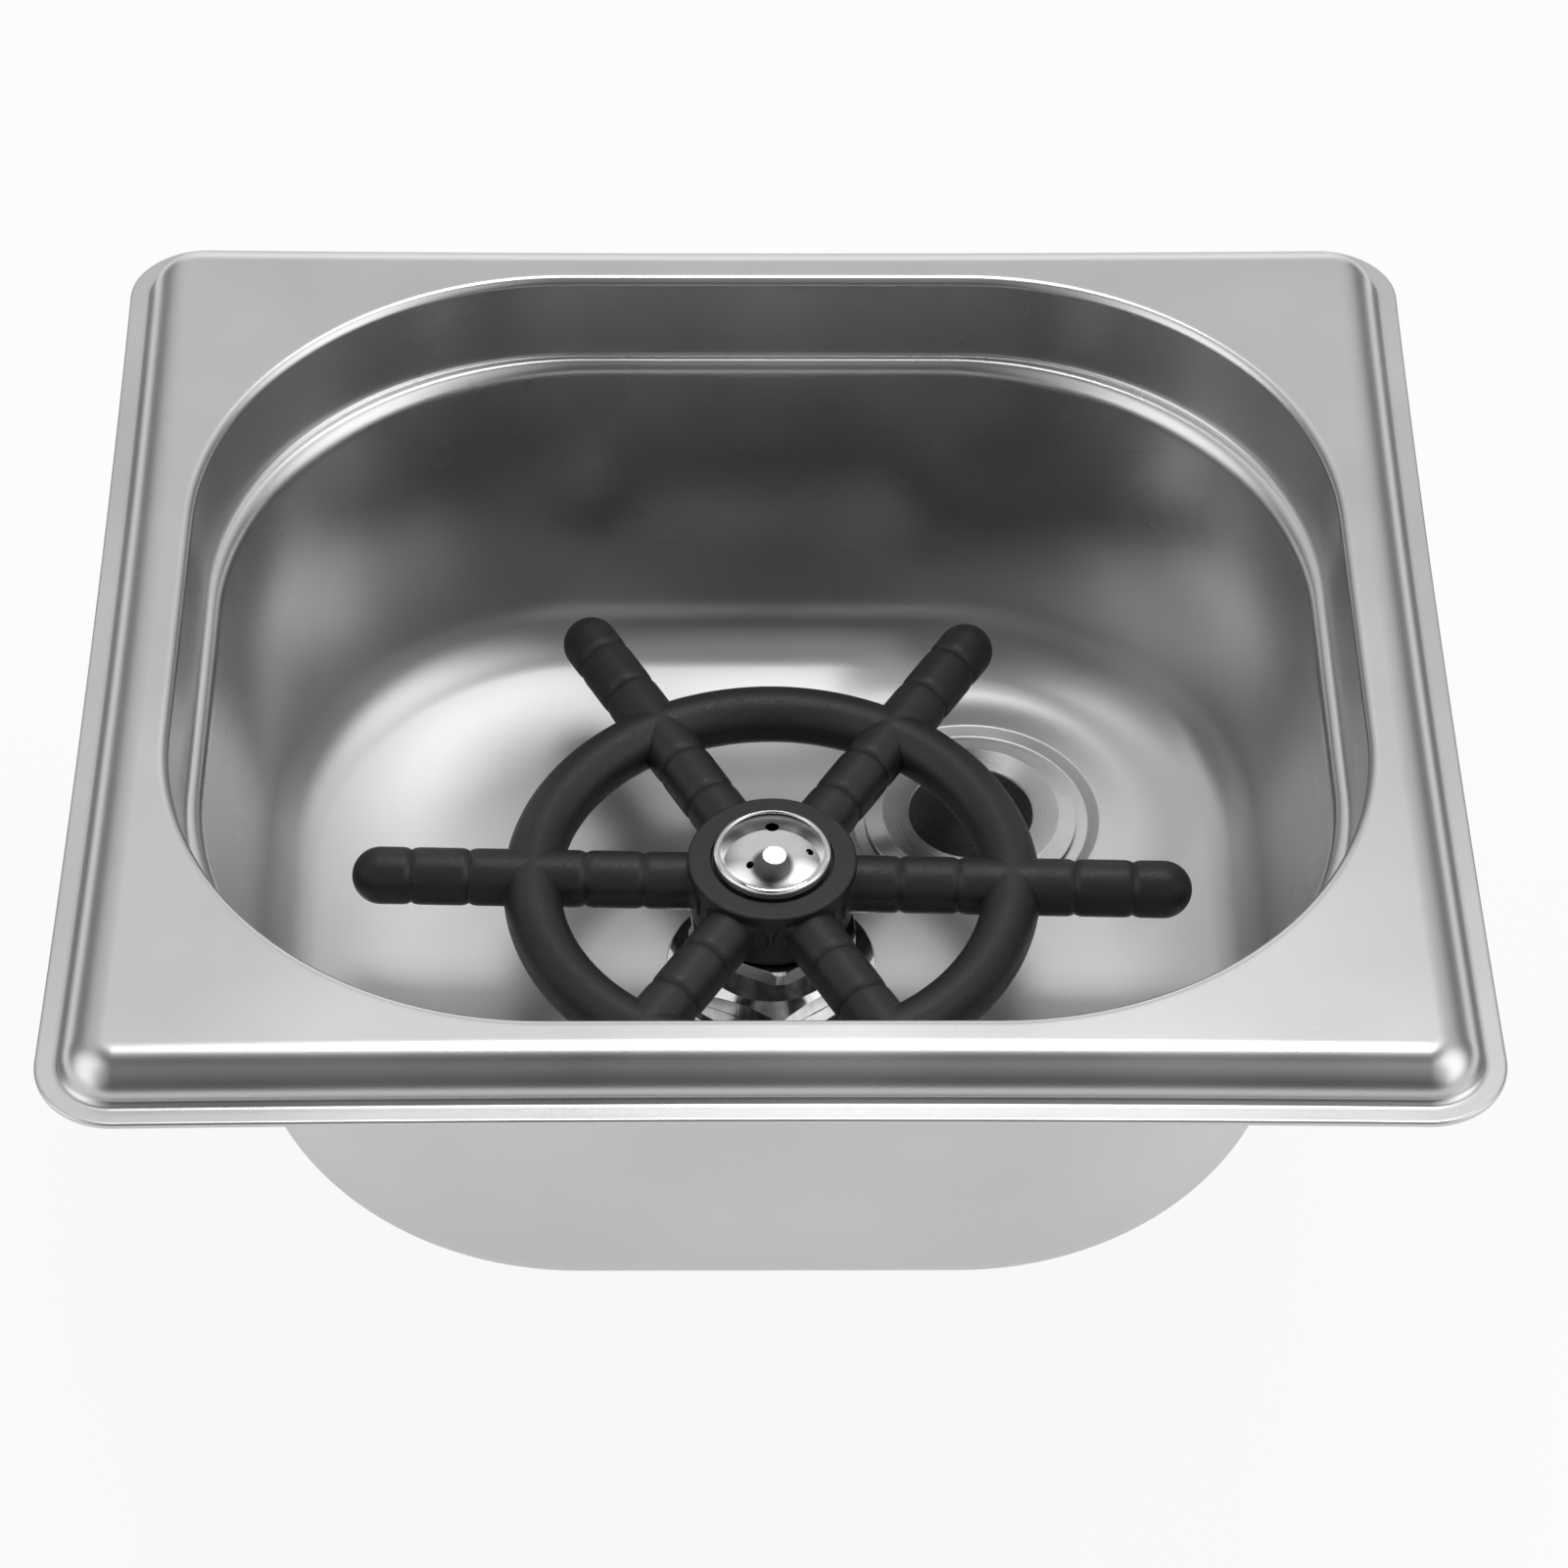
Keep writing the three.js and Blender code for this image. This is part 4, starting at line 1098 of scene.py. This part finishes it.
def make_body(material):
    body = Place("valve_body")
    hex_low, chamfer, chamfer_depth, hex_edge, joined = -57.5, 0.8, 1.5, 0.3, 0.5
    seat, seat_fillet = -67.8, 0.4
    thread_start, thread_end = 0.6, 1.5
    flare, flare_depth = 1.4, 0.4
    block = hexagon("valve_body_block", HEX_FLAT, hex_low, body.high, body, CRISP, HEX_TURN)
    trim = turned("trim", [
        (0, hex_low), (HEX_TRIM - hex_edge, hex_low), (HEX_TRIM, hex_low + hex_edge),
        (HEX_TRIM, body.high - chamfer_depth), (HEX_FLAT - chamfer, body.high), (0, body.high),
    ], body)
    combined(block, "INTERSECT", trim)
    tube = turned("tube", [
        (0, hex_low + joined), (SHANK_RADIUS, hex_low + joined), (SHANK_RADIUS, body.low, ROUND),
        (0, body.low),
    ], body, RING_STEPS, thread=(SHANK_RADIUS, body.low + thread_start, hex_low - thread_end))
    combined(block, "UNION", tube)
    bore = turned("bore", [
        (0, body.high + OVER), (GUIDE_RADIUS + flare, body.high + OVER),
        (GUIDE_RADIUS, body.high - flare_depth), (GUIDE_RADIUS, seat), (CHAMBER_RADIUS, seat, seat_fillet),
        (CHAMBER_RADIUS, body.low - OVER), (0, body.low - OVER),
    ], body)
    combined(block, "DIFFERENCE", bore)
    finished(block, material, "sink", "chrome", "valve_body")


def make_washers(chrome, steel_at_valve, steel_at_drain):
    for node, material, slot, edge in (
        ("flange_washer", chrome, "chrome", SOFT),
        ("valve_slip_washer", steel_at_valve, "turned_steel", EASED),
        ("drain_slip_washer", steel_at_drain, "turned_steel", EASED),
    ):
        ring = Place(node)
        outline = [
            (SHANK_BORE, ring.low, CRISP), (ring.radius, ring.low, edge / 2),
            (ring.radius, ring.high, edge), (SHANK_BORE, ring.high, edge),
        ]
        finished(turned(node + "_turning", outline, ring), material, "sink", slot, node)


def make_nuts(brass_at_valve, brass_at_drain):
    flat_radius = SHANK_BORE + NUT_WALL
    for node, material in (("valve_lock_nut", brass_at_valve), ("drain_lock_nut", brass_at_drain)):
        at = Place(node)
        piece = nut(node + "_hexagon", flat_radius, at.low, at.high, at, SHANK_BORE)
        finished(piece, material, "sink", "brass", node)
    at = Place("drain_tail_nut")
    lip_bore, lip, flare, flare_depth, past = 8.5, 2.5, 0.8, 0.5, 0.3
    piece = nut("drain_tail_nut_hexagon", flat_radius, at.low, at.high, at, lip_bore)
    socket = turned("socket", [
        (0, at.low + lip), (SHANK_BORE, at.low + lip), (SHANK_BORE, at.high - flare_depth),
        (SHANK_BORE + flare, at.high + past), (0, at.high + past),
    ], at)
    finished(combined(piece, "DIFFERENCE", socket), brass_at_drain, "sink", "brass", "drain_tail_nut")


def make_adapter(material):
    adapter = Place("inlet_adapter")
    body = Place("valve_body")
    grip_height, grip_flat, grip_overlap = 4, 11.0, 2
    spigot, ring_floor, ledge_bore, ledge = 8.1, 7.1, 4.0, 2.6
    inlet_bore, pocket, pocket_depth, inlet_edge = 5.5, 8.0, 1.2, 0.6
    thread_start, thread_end = 0.5, 0.4
    half = 0.75
    grip_low = body.low - grip_height
    ledge_low = adapter.high - ledge
    pocket_top = adapter.low + pocket_depth
    middle = (adapter.high + body.low) / 2
    tube = turned("inlet_adapter_turning", [
        (ledge_bore, adapter.high, SOFT), (spigot, adapter.high, SOFT),
        (spigot, middle + half, CRISP), (ring_floor, middle + half, BROKEN),
        (ring_floor, middle - half, BROKEN), (spigot, middle - half, CRISP), (spigot, body.low),
        (SHANK_RADIUS, body.low), (SHANK_RADIUS, adapter.low, inlet_edge), (pocket, adapter.low),
        (pocket, pocket_top), (inlet_bore, pocket_top, EASED), (inlet_bore, ledge_low, SOFT),
        (ledge_bore, ledge_low),
    ], adapter, RING_STEPS, thread=(SHANK_RADIUS, adapter.low + thread_start, grip_low - thread_end))
    grip = nut("grip", grip_flat, grip_low, body.low, adapter, SHANK_RADIUS - grip_overlap)
    finished(combined(tube, "UNION", grip), material, "sink", "brass", "inlet_adapter")


def make_screen(material):
    screen = Place("inlet_screen")
    cup, rim_thickness, wall, hole_radius, hole_count = 4.9, 1.1, 0.5, 0.4, 6
    top_rows = ((1.5, hole_count), (2.9, 2 * hole_count))
    side_low, side_high, side_rows = 2.2, 1.3, 3
    cup_inner = cup - wall
    piece = turned("inlet_screen_cup", [
        (0, screen.high - wall), (cup_inner, screen.high - wall, EASED), (cup_inner, screen.low, EASED),
        (screen.radius, screen.low, EASED), (screen.radius, screen.low + rim_thickness, EASED),
        (cup, screen.low + rim_thickness, EASED), (cup, screen.high, ROUND), (0, screen.high),
    ], screen, CUP_STEPS)
    holes = []
    low, high = screen.high - 2 * wall, screen.high + OVER
    outline = [(0, low), (hole_radius, low), (hole_radius, high), (0, high)]
    for row, count in top_rows:
        for i in range(count):
            angle = 2 * math.pi * i / count
            at = Vector((screen.x + row * math.cos(angle), screen.y + row * math.sin(angle)))
            holes.append(turned("hole", outline, at, SMALL_STEPS))
    for level in spread(screen.low + side_low, screen.high - side_high, side_rows):
        for i in range(hole_count):
            turn = math.pi * i / hole_count
            holes.append(level_drill(hole_radius, (screen.x, screen.y, level), turn, SMALL_STEPS))
    combined(piece, "DIFFERENCE", *holes)
    finished(piece, material, "sink", "turned_steel", "inlet_screen")


# Drain

def make_drain_flange(material):
    flange = DRAIN
    rim_low, rim_high, rim_edge = -58.7, -58.2, 0.12
    bore, bore_dip, crown, crown_edge = 8.75, 0.25, 12.47, 0.35
    thread_start, thread_end = 0.5, 3.2
    piece = turned("drain_flange_turning", [
        (bore, flange.high - bore_dip, SOFT), (crown, flange.high, crown_edge),
        (flange.radius, rim_high, rim_edge), (flange.radius, rim_low, CRISP), (SHANK_RADIUS, rim_low),
        (SHANK_RADIUS, flange.low, ROUND), (bore, flange.low, SOFT),
    ], flange, ROUND_STEPS, thread=(SHANK_RADIUS, flange.low + thread_start, rim_low - thread_end))
    finished(piece, material, "sink", "turned_steel", "drain_flange")


def make_hose_tail(material):
    tail = Place("drain_hose_tail")
    pipe, rise, pitch, count = 7.3, 0.7, 4.5, 3
    bore, flange, flange_fillet, barb_fillet = 5.75, 2, 0.4, 0.08
    flange_low = tail.high - flange
    barbs = [(pipe, tail.low + count * pitch, barb_fillet)]
    for order in reversed(range(count)):
        low = tail.low + order * pitch
        barbs += [(pipe + rise, low + pitch - rise, BROKEN), (pipe, low)]
    outline = [
        (bore, tail.high, SOFT), (tail.radius, tail.high, SOFT), (tail.radius, flange_low, SOFT),
        (pipe, flange_low, flange_fillet), *barbs, (bore, tail.low, SOFT),
    ]
    piece = turned("drain_hose_tail_moulding", outline, tail)
    finished(piece, material, "sink", "black_plastic", "drain_hose_tail")


# Assembly

place_camera()
make_stage()
make_world()
hang_lamp()

STEEL = satin_steel()
CHROME = polished_chrome()
BRUSHED = brushed_chrome()
PLASTIC = moulded_plastic()
RUBBER = black_rubber()
BRASS = ((0.64, 0.49, 0.23), (0.56, 0.42, 0.19))
BRIGHT = (grey(0.74), grey(0.66))
BRASS_AT_VALVE = turned_metal("brass_at_valve", *BRASS, 0.28, VALVE)
BRASS_AT_DRAIN = turned_metal("brass_at_drain", *BRASS, 0.28, DRAIN)
STEEL_AT_VALVE = turned_metal("turned_steel_at_valve", *BRIGHT, 0.26, VALVE)
# The drain's turned steel is lighter than the valve's: partly a brighter polish, partly painted light that
# stands in for light the flange's bright band lacks
POLISHED_WITH_PAINTED_LIGHT = (grey(0.86), grey(0.76))
STEEL_AT_DRAIN = turned_metal("turned_steel_at_drain", *POLISHED_WITH_PAINTED_LIGHT, 0.3, DRAIN)

make_basin(STEEL)
make_wheel(PLASTIC)
make_nozzle(CHROME)
make_stem(BRUSHED)
make_seals(RUBBER)
make_retainer(BRASS_AT_VALVE)
make_spring(drawn_wire())
make_body(BRUSHED)
make_washers(CHROME, STEEL_AT_VALVE, STEEL_AT_DRAIN)
make_nuts(BRASS_AT_VALVE, BRASS_AT_DRAIN)
make_adapter(BRASS_AT_VALVE)
make_screen(STEEL_AT_VALVE)
make_drain_flange(STEEL_AT_DRAIN)
make_hose_tail(PLASTIC)

bpy.context.scene.view_settings.view_transform = "Standard"
